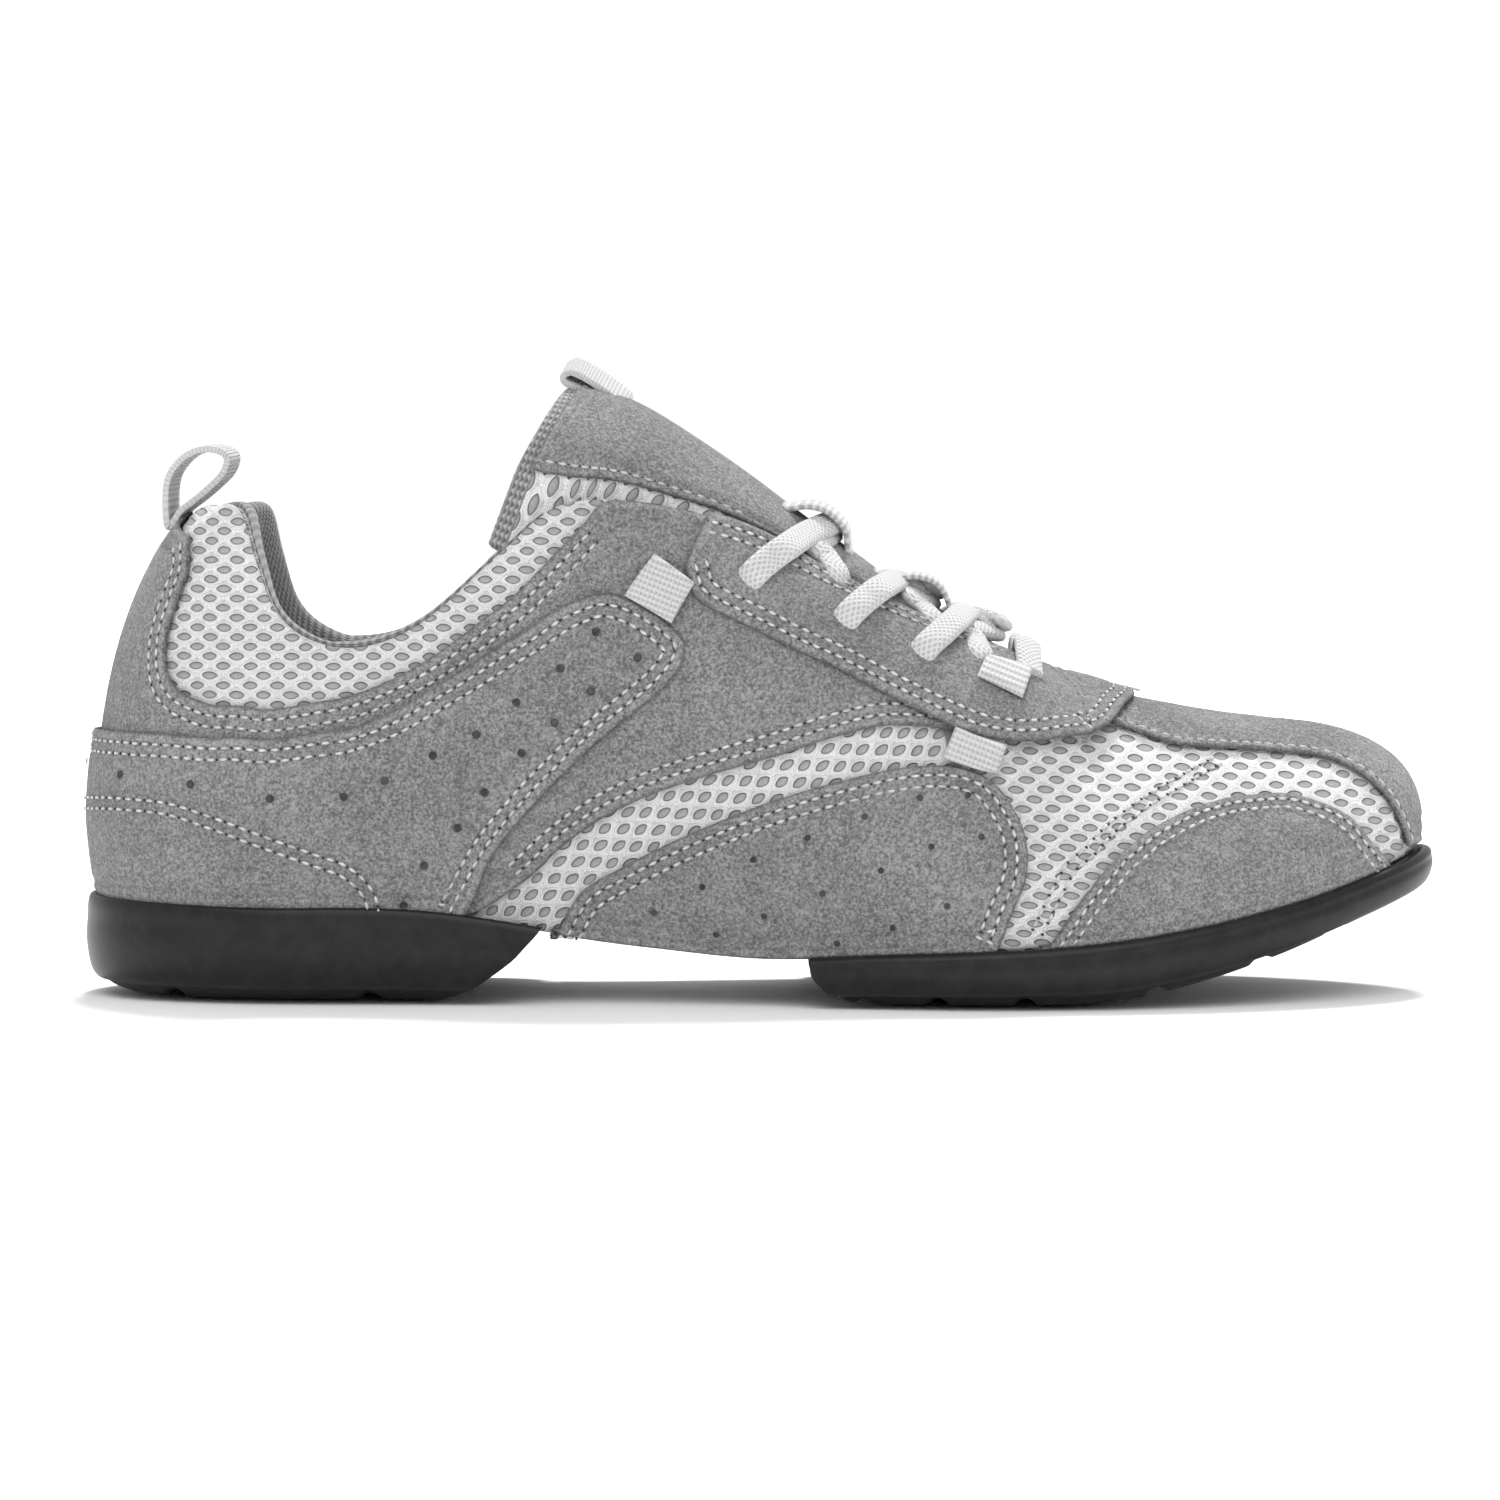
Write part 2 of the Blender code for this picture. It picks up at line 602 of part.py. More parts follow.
def forefoot_levels():
    """The forefoot unit's outline at each height, from one back corner round the toe."""
    steps = 17
    levels = []
    for row in FOREFOOT_SIDE:
        start = turn_at(FOREFOOT_START + row["short"] * LENGTH)
        span = 180 - start
        offsets = np.array([span * (2 * (i + 0.5) / (2 * steps) - 1) for i in range(2 * steps)])
        offsets[0], offsets[-1] = -span, span
        around = 180 + offsets
        level = bottom_edge(around, row["out"])
        below = tread_height(180 - np.abs(offsets))
        level[:, 2] = below + row["share"] * (level[:, 2] - GAP - below)
        levels.append(level)
    return levels


def cut_grooves(item, places, tilt):
    """Cuts each groove of the tread across the unit with its own cutter."""
    for number, place in enumerate(places):
        x = place * LENGTH
        turn = turn_at(x)
        floor = float(tread_height(turn))
        half = GROOVE_WIDTH / 2
        depth = floor + GROOVE_DEPTH
        outline = [(x - half, floor - 0.006), (x + half, floor - 0.006), (x + half, depth), (x - half, depth)]
        tool = cutter(f"{item.name}_groove_{number}", outline, -BALL_WIDTH, BALL_WIDTH)
        tool.data.transform(shear(tilt, x - HEEL_REST))
        cut = item.modifiers.new(f"groove_{number}", "BOOLEAN")
        cut.operation = "DIFFERENCE"
        cut.object = tool
        cut.solver = "EXACT"


def shear(amount, x):
    """A matrix that leans a groove forward on its way across the sole."""
    from mathutils import Matrix

    matrix = Matrix.Identity(4)
    matrix[0][1] = amount
    return matrix


def make_soles():
    heel = mesh_object("heel_sole", lambda bm: stack(bm, heel_levels()), "rubber", 0.5)
    cut_grooves(heel, HEEL_GROOVES, 0.0)
    forefoot = mesh_object("forefoot_sole", lambda bm: stack(bm, forefoot_levels()), "rubber", 0.5)
    cut_grooves(forefoot, GROOVES, 0.12)


def make_insole():
    """The sock that lies inside, on the turned margin and on the arch."""

    def build(bm):
        inset = UPPER_WALL + 5 * GAP
        around = np.array(AROUND)
        under = bottom_edge(around, -inset)
        under[:, 2] = under_height(under[:, 0]) + UPPER_WALL + GAP
        over = under.copy()
        over[:, 2] += INSOLE
        around_loop(bm, over, under)

    mesh_object("insole", build, "lining")


def around_loop(bm, over, under):
    """A thin body between two loops round the last, closed by rungs across it."""
    count = len(over)
    tops = [bm.verts.new(point) for point in over]
    bases = [bm.verts.new(point) for point in under]
    for i in range(count):
        after = (i + 1) % count
        bm.faces.new((tops[i], bases[i], bases[after], tops[after]))
    for loop in (tops, bases):
        pairs = count // 2 - 1
        for i in range(pairs):
            a, b = loop[i], loop[i + 1]
            c, d = loop[(count - 3 - i) % count], loop[(count - 2 - i) % count]
            corners = [v for k, v in enumerate((a, b, c, d)) if v not in (a, b, c, d)[:k]]
            bm.faces.new(corners)
        bm.faces.new((loop[0], loop[-1], loop[-2]))


def make_collar_pad():
    """The foam roll and lining inside the collar, thinning to nothing at both front ends."""
    section = (
        {"rise": 0.60, "deep": 0.00},
        {"rise": 0.80, "deep": 0.00},
        {"rise": 0.97, "deep": 0.00},
        {"rise": 1.00, "deep": 0.22},
        {"rise": 1.00, "deep": 0.60},
        {"rise": 0.95, "deep": 0.92},
        {"rise": 0.86, "deep": 1.00},
        {"rise": 0.74, "deep": 0.80},
        {"rise": 0.63, "deep": 0.30},
    )

    def build(bm):
        turns = both_sides(spread((0, 24, 3), (24, 52, 6), (52, PAD_END, 4)))
        rings = []
        for turn in turns:
            fade = 0.30 + 0.70 * math.sqrt(max(0.0, 1 - (turn / PAD_END) ** 6))
            rises = np.array([row["rise"] for row in section])
            deep = np.array([row["deep"] for row in section]) * COLLAR_PAD * fade
            points = surface(turn, rises, -(UPPER_WALL + GAP + deep))
            rings.append([bm.verts.new(point) for point in points])
        count = len(section)
        for here, there in zip(rings, rings[1:]):
            for j in range(count):
                after = (j + 1) % count
                bm.faces.new((here[j], there[j], there[after], here[after]))
        bm.faces.new(rings[0])
        bm.faces.new(rings[-1][::-1])

    mesh_object("collar_pad", build, "lining")


def tongue_point(along, aside, offset=0.0):
    """A point of the tongue's face: `along` as a share of LENGTH, `aside` from -1 to 1."""
    step = 0.004

    def middle(share):
        return LENGTH * share, TONGUE_HEIGHT * float(read(TONGUE, "along", "height", share))

    x, z = middle(along)
    (x0, z0), (x1, z1) = middle(along - step), middle(along + step)
    size = math.hypot(x1 - x0, z1 - z0)
    out = Vector((-(z1 - z0) / size, 0, (x1 - x0) / size))
    radius = float(read(TONGUE, "along", "radius", along))
    angle = aside * math.radians(float(read(TONGUE, "along", "wrap", along)))
    reach = radius + offset
    centre = Vector((x, float(swing(x)), z)) - out * radius
    return centre + out * (reach * math.cos(angle)) + Vector((0, reach * math.sin(angle), 0))


def make_tongue():
    first, last = TONGUE[0]["along"], TONGUE[-1]["along"]

    def build(bm):
        rows = [
            [bm.verts.new(tongue_point(along, aside)) for aside in spread((-1, 1, 10))]
            for along in spread((first + 0.004, last - 0.004, 13))
        ]
        for here, there in zip(rows, rows[1:]):
            for j in range(len(here) - 1):
                bm.faces.new((here[j], here[j + 1], there[j + 1], there[j]))

    tongue = mesh_object("tongue", build, "suede")
    thicken(tongue, TONGUE_WALL, 1)


def ribbon(bm, path, width, thickness, centre):
    """A closed webbing loop: a flat band that follows a closed path seen from the side."""
    count = len(path)
    rings = []
    for i, point in enumerate(path):
        along = (path[(i + 1) % count] - path[i - 1]).normalized()
        out = Vector((along.y, -along.x)) * (thickness / 2)
        corners = ((point + out, -1), (point + out, 1), (point - out, 1), (point - out, -1))
        rings.append([bm.verts.new((p.x, centre + s * width / 2, p.y)) for p, s in corners])
    for i in range(count):
        here, there = rings[i], rings[(i + 1) % count]
        for j in range(4):
            after = (j + 1) % 4
            bm.faces.new((here[j], here[after], there[after], there[j]))


def make_loops():
    """The pull loop at the heel and the one on the tongue's tip."""
    heel = side_outline(HEEL_LOOP, 2)
    mesh_object("heel_loop", lambda bm: ribbon(bm, heel, WEBBING_WIDTH, WEBBING, 0.0), "webbing")
    tip = side_outline(TONGUE_LOOP, 2)
    middle = float(swing(TONGUE_LOOP[0][0] * LENGTH))
    mesh_object("tongue_loop", lambda bm: ribbon(bm, tip, WEBBING_WIDTH, WEBBING, middle), "webbing")


def eyelet_point(row, side, lift):
    """Where row `row` enters the eyestay on one side, `lift` above its face."""
    top_face = 2 * (LAYER_GAP + SUEDE)
    return Vector(surface(side * EYELET_TURNS[row], EYELET_RISE, top_face + lift))


def bar_path(row, side):
    """A lace from its eyelet over the crossing to the far edge of the next row."""
    lift = LACE_THICKNESS / 2 + GAP
    start = eyelet_point(row, side, lift)
    edge = Vector(surface(side * (EYELET_TURNS[row] + 2.5), 0.985, 2 * (LAYER_GAP + SUEDE) + lift + 0.0008))
    cross = tongue_point(CROSSINGS[row], 0.0, lift + WEBBING)
    far = tongue_point(CROSSINGS[row] + 0.020, -side * 0.42, lift + 0.0006)
    return [start, edge, cross, far]


def bar_ring(point, along, out):
    """The flat oval section of a lace."""
    across = along.cross(out).normalized()
    ring = []
    for i in range(BAR_SIDES):
        angle = 2 * math.pi * (i + 0.5) / BAR_SIDES
        ring.append(
            point
            + across * (LACE_WIDTH / 2 * math.cos(angle))
            + out * (LACE_THICKNESS / 2 * math.sin(angle))
        )
    return ring


def build_bar(bm, path):
    """A lace bar through its path's points, closed at both ends."""
    smooth = []
    for i in range(len(path) - 1):
        before = path[max(i - 1, 0)]
        after = path[min(i + 2, len(path) - 1)]
        for step in range(2):
            t = step / 2
            start, end = path[i], path[i + 1]
            smooth.append(
                0.5
                * (
                    2 * start
                    + (end - before) * t
                    + (2 * before - 5 * start + 4 * end - after) * t * t
                    + (3 * start - before - 3 * end + after) * t**3
                )
            )
    smooth.append(path[-1])
    rings = []
    for i, point in enumerate(smooth):
        along = (smooth[min(i + 1, len(smooth) - 1)] - smooth[max(i - 1, 0)]).normalized()
        up = Vector((0.45, 0.9 * (point.y - float(swing(point.x))) / 0.02, 0.9))
        out = (up - along * up.dot(along)).normalized()
        rings.append([bm.verts.new(p) for p in bar_ring(point, along, out)])
    for here, there in zip(rings, rings[1:]):
        for j in range(BAR_SIDES):
            after = (j + 1) % BAR_SIDES
            bm.faces.new((here[j], here[after], there[after], there[j]))
    bm.faces.new(rings[0][::-1])
    bm.faces.new(rings[-1])


def make_laces():
    """Each crossing is two bars joined into one solid. The last bar closes the throat."""
    for row in range(len(CROSSINGS)):
        name = f"lace_crossing_{row + 1}"
        outer = mesh_object(name, lambda bm, r=row: build_bar(bm, bar_path(r, -1)), "webbing")
        inner = mesh_object(f"{name}_inner_bar", lambda bm, r=row: build_bar(bm, bar_path(r, 1)), None)
        inner.hide_render = True
        inner.display_type = "WIRE"
        join = outer.modifiers.new("crossing", "BOOLEAN")
        join.operation = "UNION"
        join.object = inner
        join.solver = "EXACT"


def clear_scene():
    for item in list(bpy.data.objects):
        bpy.data.objects.remove(item)


def main():
    clear_scene()
    make_upper()
    make_overlays()
    make_ties()
    make_soles()
    make_insole()
    make_collar_pad()
    make_tongue()
    make_loops()
    make_laces()


main()
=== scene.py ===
# %% [markdown]
# # A split-sole dance sneaker
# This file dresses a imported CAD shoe. The CAD gives the sizes; here each mesh panel, suede
# overlay, lace and sole is made again with the detail that the eye looks for.
# We start with the fixed frame. Everything is in metres and stands where the CAD stands.

# %% Tools and the fixed frame
import math

import bmesh
import bpy
import numpy as np
from mathutils import Matrix, Vector
from mathutils.kdtree import KDTree


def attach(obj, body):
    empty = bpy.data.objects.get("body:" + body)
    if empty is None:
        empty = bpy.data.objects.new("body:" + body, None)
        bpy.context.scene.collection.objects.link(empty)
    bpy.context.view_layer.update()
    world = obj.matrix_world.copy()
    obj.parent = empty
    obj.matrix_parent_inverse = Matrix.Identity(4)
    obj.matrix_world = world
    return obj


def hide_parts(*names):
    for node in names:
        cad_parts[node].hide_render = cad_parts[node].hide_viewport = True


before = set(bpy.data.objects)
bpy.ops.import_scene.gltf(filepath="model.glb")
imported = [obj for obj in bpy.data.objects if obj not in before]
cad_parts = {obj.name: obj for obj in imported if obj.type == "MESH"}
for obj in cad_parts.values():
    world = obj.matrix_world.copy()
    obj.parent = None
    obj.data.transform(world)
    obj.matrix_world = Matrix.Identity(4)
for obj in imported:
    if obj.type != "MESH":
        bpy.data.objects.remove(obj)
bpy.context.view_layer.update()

# %% [markdown]
# ## Camera
# The shoe was photographed from its outer side with a long lens, a little above the floor.
# A long lens keeps the sides of the shoe almost parallel.

# %% Camera
CAMERA_AWAY = 1.1
CAMERA_TILT = math.radians(2.6)
LOOK_AT = Vector((0.0924, 0.0, 0.048))
FRAME_WIDTH = 0.300

camera_data = bpy.data.cameras.new("side_camera")
camera_data.sensor_width = 36
camera_data.lens = 36 * CAMERA_AWAY / FRAME_WIDTH
camera_data.clip_start = 0.01
camera = bpy.data.objects.new("side_camera", camera_data)
bpy.context.scene.collection.objects.link(camera)
camera.location = LOOK_AT + CAMERA_AWAY * Vector((0, -math.cos(CAMERA_TILT), math.sin(CAMERA_TILT)))
camera.rotation_euler = (LOOK_AT - camera.location).to_track_quat("-Z", "Y").to_euler()
bpy.context.scene.camera = camera
print("camera at", tuple(round(c, 3) for c in camera.location))

# %% [markdown]
# ## Floor and light
# The table and the background are white, so a large pale floor and a pale sky give the same
# quiet shading. A lamp above and a little behind draws the short shadow in front of the sole,
# and a wide weak one from the front shows the relief of the suede.

# %% Floor, sky and lamps
# height in the sky and grey there
SKY_LOW, SKY_HIGH = (0.11, 1.0), (0.50, 0.68)


def plain_paint(name, grey, rough):
    paint = bpy.data.materials.new(name)
    paint.use_nodes = True
    shader = paint.node_tree.nodes["Principled BSDF"]
    shader.inputs["Base Color"].default_value = (grey, grey, grey, 1)
    shader.inputs["Roughness"].default_value = rough
    return paint


def lay_floor():
    bm = bmesh.new()
    bmesh.ops.create_grid(bm, x_segments=1, y_segments=1, size=8)
    mesh = bpy.data.meshes.new("floor")
    bm.to_mesh(mesh)
    bm.free()
    floor = bpy.data.objects.new("floor", mesh)
    bpy.context.scene.collection.objects.link(floor)
    mesh.materials.append(plain_paint("white_table", 0.90, 0.8))
    floor.location.z = -0.0003


def pale_sky():
    """A sky that is white along the horizon and dims towards the top, as in a light tent."""
    sky = bpy.data.worlds.new("pale_sky")
    sky.use_nodes = True
    nodes, links = sky.node_tree.nodes, sky.node_tree.links
    apart = nodes.new("ShaderNodeSeparateXYZ")
    links.new(nodes.new("ShaderNodeTexCoord").outputs["Generated"], apart.inputs[0])
    ramp = nodes.new("ShaderNodeValToRGB")
    for stop, (height, grey) in zip(list(ramp.color_ramp.elements), (SKY_LOW, SKY_HIGH)):
        stop.position, stop.color = height, (grey, grey, grey, 1)
    links.new(apart.outputs[2], ramp.inputs[0])
    links.new(ramp.outputs[0], nodes["Background"].inputs["Color"])
    nodes["Background"].inputs["Strength"].default_value = 1.0
    bpy.context.scene.world = sky


def far_lamp(name, power, width, tilt_x, tilt_y):
    """A far lamp: its power, how wide it looks, and its tilt about the X and Y axes."""
    lamp = bpy.data.objects.new(name, bpy.data.lights.new(name, "SUN"))
    lamp.data.energy = power
    lamp.data.angle = math.radians(width)
    lamp.rotation_euler = (math.radians(tilt_x), math.radians(tilt_y), 0)
    bpy.context.scene.collection.objects.link(lamp)


lay_floor()
pale_sky()
far_lamp("overhead_and_behind", power=3.8, width=14, tilt_x=-27, tilt_y=4)
far_lamp("soft_front", power=1.3, width=50, tilt_x=40, tilt_y=0)
bpy.context.scene.view_settings.view_transform = "Standard"
print("one floor, a sky and two lamps")

# %% [markdown]
# ## The last
# A shoe is made over a last, a block in the shape of the foot. Every panel lies on it, so the
# whole upper comes from one function, `surface(around, rise, offset)`. `around` walks round the
# shoe in degrees, from 0 at the back of the heel to 180 at the toe tip, and is negative on the
# outer side. `rise` climbs from 0 at the bottom edge to 1 at the collar, at the throat, or, past
# the throat, at the ridge over the toes. The tables are those of the CAD, a little fuller over
# the toes, where soft mesh and suede puff out.

# %% The last's sizes and tables
LENGTH = 0.2700
BALL_WIDTH = 0.0840
COLLAR_HEIGHT = 0.0975
HEEL_LIFT = 0.0175
TONGUE_HEIGHT = 0.1172
UPPER_WALL = 0.0020
SUEDE = 0.0012
WEBBING = 0.0012
WEBBING_WIDTH = 0.0100
INSOLE = 0.0035
TONGUE_WALL = 0.0045
COLLAR_PAD = 0.0045
LACE_WIDTH = 0.0056
LACE_THICKNESS = 0.0027
GAP = 0.0003
LAYER_GAP = 0.00055
HEEL_REST = 0.148 * LENGTH
HEEL_END = 0.341 * LENGTH
FOREFOOT_START = 0.537 * LENGTH
BACK_INSET = 0.0050
TOE_INSET = 0.0045
THROAT_TURN = 122.0
THROAT_ROUND = 12.0
PAD_END = 74.0

# turn, half width as a share of BALL_WIDTH, height of HEEL_LIFT
PLAN = np.array((
    (0, 0.000, 1.05), (20, 0.219, 1.03), (40, 0.336, 0.99), (60, 0.348, 0.96),
    (80, 0.348, 0.64), (90, 0.388, 0.53), (100, 0.445, 0.58), (110, 0.492, 0.63),
    (120, 0.496, 0.71), (130, 0.463, 0.87), (140, 0.400, 1.07), (160, 0.214, 1.46),
    (180, 0.000, 1.64),
))
# turn, place along as a share of LENGTH, half width of BALL_WIDTH, height of COLLAR_HEIGHT
TOP_LINE = np.array((
    (0, 0.080, 0.000, 0.975), (10, 0.084, 0.110, 0.982), (20, 0.099, 0.210, 0.994),
    (30, 0.123, 0.290, 0.975), (36, 0.134, 0.318, 0.880), (42, 0.150, 0.336, 0.775),
    (50, 0.190, 0.346, 0.712), (60, 0.248, 0.346, 0.750), (70, 0.313, 0.338, 0.905),
    (76, 0.350, 0.328, 0.990), (82, 0.395, 0.310, 1.003), (90, 0.472, 0.250, 0.955),
    (100, 0.545, 0.200, 0.842), (110, 0.620, 0.162, 0.736), (122, 0.704, 0.120, 0.640),
    (130, 0.750, 0.100, 0.602), (140, 0.796, 0.100, 0.570), (150, 0.835, 0.100, 0.551),
    (160, 0.865, 0.100, 0.541), (180, 0.890, 0.100, 0.534),
))
# turn, then how the wall leaves the bottom edge (out, up) and meets the top line (out, up)
BULGE = np.array((
    (0, 0.045, 0.26, 0.165, -0.175), (20, 0.045, 0.25, 0.100, -0.180),
    (40, 0.040, 0.20, 0.040, -0.180), (60, 0.040, 0.18, 0.040, -0.200),
    (80, 0.050, 0.26, 0.060, -0.260), (90, 0.045, 0.26, 0.120, -0.190),
    (100, 0.035, 0.24, 0.150, -0.130), (110, 0.030, 0.22, 0.170, -0.080),
    (122, 0.030, 0.20, 0.190, 0.000), (140, 0.030, 0.17, 0.180, 0.000),
    (160, 0.028, 0.15, 0.170, 0.000), (180, 0.026, 0.15, 0.172, 0.000),
))
# place along, and how far the centre line lies towards the inner side
SWING = np.array((
    (0.00, 0.000), (0.20, 0.000), (0.42, -0.030), (0.58, -0.038),
    (0.74, -0.006), (0.87, 0.032), (0.96, 0.058), (1.00, 0.068),
))
print(len(TOP_LINE), "stations on the top line")

# %% [markdown]
# A table holds only a few stations, so a smooth curve is put through them. The walk is mirrored
# past 0 and past 180 degrees, where the outer side meets the inner one. Two lines come from the
# tables: the bottom edge and the top line of the upper.

# %% Reading a table, and the edges of the last
def unit(vectors):
    return vectors / np.linalg.norm(vectors, axis=-1, keepdims=True)


def walked_along(points):
    """The distance walked from the first point to each of them."""
    return np.concatenate([[0], np.cumsum(np.linalg.norm(np.diff(points, axis=0), axis=1))])


def through(knots, values, at):
    """A smooth curve through a few values, read at the places `at`."""
    knots, values = np.asarray(knots, float), np.asarray(values, float)
    slopes = np.gradient(values, knots, axis=0)
    at = np.clip(np.asarray(at, float), knots[0], knots[-1])
    left = np.clip(np.searchsorted(knots, at) - 1, 0, len(knots) - 2)
    span = knots[left + 1] - knots[left]
    t = (at - knots[left]) / span
    if values.ndim > 1:
        t, span = t[..., None], span[..., None]
    return (
        values[left] * (1 + 2 * t) * (1 - t) ** 2
        + slopes[left] * span * t * (1 - t) ** 2
        + values[left + 1] * t * t * (3 - 2 * t)
        + slopes[left + 1] * span * t * t * (t - 1)
    )


def read(table, column, at, parity=0):
    """One column of a table. With parity 1 or -1 it is mirrored past 0 and 180 degrees."""
    knots, values = table[:, 0], table[:, column]
    if parity:
        knots = np.concatenate([-knots[:0:-1], knots, 360 - knots[-2::-1]])
        values = np.concatenate([parity * values[:0:-1], values, parity * values[-2::-1]])
    return through(knots, values, at)


def fold(around):
    turn = np.abs(around)
    return np.where(turn > 180, 360 - turn, turn)


def swing(x):
    return BALL_WIDTH * read(SWING, 1, np.asarray(x) / LENGTH)


def edge_along(around):
    return BACK_INSET + (LENGTH - BACK_INSET - TOE_INSET) * (1 - np.cos(np.radians(around))) / 2


def turn_at(along):
    share = (along - BACK_INSET) / (LENGTH - BACK_INSET - TOE_INSET)
    return np.degrees(np.arccos(1 - 2 * np.clip(share, 0, 1)))


def under_height(x):
    return HEEL_LIFT * read(PLAN, 2, turn_at(x), 1)


def bottom_edge(around, out=0.0):
    """The upper's bottom edge, moved `out` along the level outward direction."""
    around = np.asarray(around, float)

    def plain(a):
        x = edge_along(a)
        return x, swing(x) + BALL_WIDTH * read(PLAN, 1, a, -1)

    x, y = plain(around)
    (x0, y0), (x1, y1) = plain(around - 0.5), plain(around + 0.5)
    size = np.hypot(x1 - x0, y1 - y0)
    z = HEEL_LIFT * read(PLAN, 2, around, 1)
    return np.stack([x - out * (y1 - y0) / size, y + out * (x1 - x0) / size, z], -1)


def past_throat(around):
    """0 before the throat's rounded end and 1 beyond it, where the two sides meet."""
    return np.clip((fold(around) - THROAT_TURN + THROAT_ROUND) / THROAT_ROUND, 0, 1)


def top_line(around):
    """The collar, the edge of the throat or the ridge over the toes."""
    around = np.asarray(around, float)
    x = LENGTH * read(TOP_LINE, 1, around, 1)
    half = BALL_WIDTH * read(TOP_LINE, 2, around, -1) * np.sqrt(1 - past_throat(around) ** 2)
    return np.stack([x, swing(x) + half, COLLAR_HEIGHT * read(TOP_LINE, 3, around, 1)], -1)


print("the bottom edge ends at", bottom_edge(180.0).round(4))

# %% [markdown]
# Between the two lines the wall is a cubic curve with two handles. The lower handle sets how it
# leaves the bottom edge, and the upper one how it meets the collar or the ridge.

# %% The wall between the edges
def wall(around, rise):
    """The outer face of the plain upper: a cubic from the bottom edge to the top line."""
    around, rise = np.broadcast_arrays(np.asarray(around, float), np.asarray(rise, float))
    low, top = bottom_edge(around), top_line(around)
    level = bottom_edge(around, 1.0) - low
    away = unit(low[..., :2] - top[..., :2])
    low_out, low_up, top_out, top_up = (
        COLLAR_HEIGHT * read(BULGE, column, around, 1) for column in (1, 2, 3, 4)
    )
    low_handle = low + level * low_out[..., None]
    low_handle[..., 2] += low_up
    top_handle = top.copy()
    top_handle[..., :2] += away * top_out[..., None]
    turn = np.clip(fold(around), THROAT_TURN, 178)
    ahead, behind = top_line(turn + 0.5), top_line(turn - 0.5)
    slope = (ahead[..., 2] - behind[..., 2]) / (ahead[..., 0] - behind[..., 0])
    closing = past_throat(around)
    follow = slope * away[..., 0] * top_out
    top_handle[..., 2] += top_up * (1 - closing) + follow * closing
    t = rise[..., None]
    return (
        low * (1 - t) ** 3
        + 3 * low_handle * t * (1 - t) ** 2
        + 3 * top_handle * t * t * (1 - t)
        + top * t**3
    )


def facing(around, rise):
    """The direction that points out of the shoe there."""
    along = wall(around + 0.4, rise) - wall(around - 0.4, rise)
    upward = wall(around, np.minimum(rise + 0.004, 1)) - wall(around, np.maximum(rise - 0.004, 0))
    return unit(np.cross(upward, along))


def surface(around, rise, offset=0.0):
    around, rise = np.broadcast_arrays(np.asarray(around, float), np.asarray(rise, float))
    return wall(around, rise) + np.asarray(offset)[..., None] * facing(around, rise)


def layer_face(layer):
    """Height of the outer face of suede layer 1 or 2 over the mesh."""
    return layer * (LAYER_GAP + SUEDE)


print("collar at the heel", surface(0.0, 1.0).round(4))

# %% [markdown]
# ## From the side view to the last
# Panels are easiest to draw as the eye sees them, flat on the side view, in millimetres from the
# back of the heel and from the floor. The camera sees near things a little larger, so `seen`
# works out where a point of the last shows, and `on_last` steps back from a drawn mark to its
# place on the last. A mark may also say RIM, SOLE or BACK, for the top line, the bottom edge and
# the middle of the heel.

# %% Marks on the side view
RIM, SOLE, BACK = "rim", "sole", "back"
# small steps that show how a place on the last moves with its turn and its rise
TURN_STEP, RISE_STEP = 0.2, 0.005
EYE = np.array((LOOK_AT.x + HEEL_REST, camera.location.y, camera.location.z))


def seen(points):
    """Where points show on the upright plane through the shoe's middle."""
    nearer = EYE[1] / (EYE[1] - points[..., 1])
    return EYE[[0, 2]] + (points[..., [0, 2]] - EYE[[0, 2]]) * nearer[..., None]


EDGE_TURNS = np.linspace(0, 180, 721)
GUESSES = {}


def guesses(lift):
    """Many places of the outer side and where they show, to start the search from."""
    if lift not in GUESSES:
        grid = np.meshgrid(np.linspace(1, 179, 179), np.linspace(0, 1, 41))
        turn, rise = (part.ravel() for part in grid)
        GUESSES[lift] = turn, rise, seen(surface(-turn, rise, lift))
    return GUESSES[lift]


def on_last(marks, lift=0.0):
    """(turn, rise) of drawn marks, for a face that lies `lift` over the last."""
    places = np.zeros((len(marks), 2))
    free = []
    for i, (x, z) in enumerate(marks):
        if x == BACK:
            rises = np.linspace(0, 1, 201)
            places[i] = 0.0, np.interp(z / 1000, wall(0.0, rises)[:, 2], rises)
        elif z in (RIM, SOLE):
            rise = 1.0 if z == RIM else 0.0
            shown = seen(wall(-EDGE_TURNS, rise))[:, 0]
            places[i] = np.interp(x / 1000, shown, EDGE_TURNS), rise
        else:
            free.append(i)
    if not free:
        return places
    drawn = np.array([marks[i] for i in free], float) / 1000
    all_turns, all_rises, shown = guesses(lift)
    first = np.argmin(((shown[None] - drawn[:, None]) ** 2).sum(2), axis=1)
    turn, rise = all_turns[first], all_rises[first]
    for _ in range(8):
        here = seen(surface(-turn, rise, lift))
        by_turn = (seen(surface(-turn - TURN_STEP, rise, lift)) - here) / TURN_STEP
        by_rise = (seen(surface(-turn, rise - RISE_STEP, lift)) - here) / -RISE_STEP
        miss = drawn - here
        det = by_turn[:, 0] * by_rise[:, 1] - by_turn[:, 1] * by_rise[:, 0]
        det = np.where(np.abs(det) < 1e-9, 1e-9, det)
        step_turn = (miss[:, 0] * by_rise[:, 1] - miss[:, 1] * by_rise[:, 0]) / det
        step_rise = (by_turn[:, 0] * miss[:, 1] - by_turn[:, 1] * miss[:, 0]) / det
        turn = np.clip(turn + np.clip(step_turn, -2, 2), 0, 180)
        rise = np.clip(rise + np.clip(step_rise, -0.05, 0.05), 0.005, 1)
    places[free] = np.stack([turn, rise], 1)
    return places


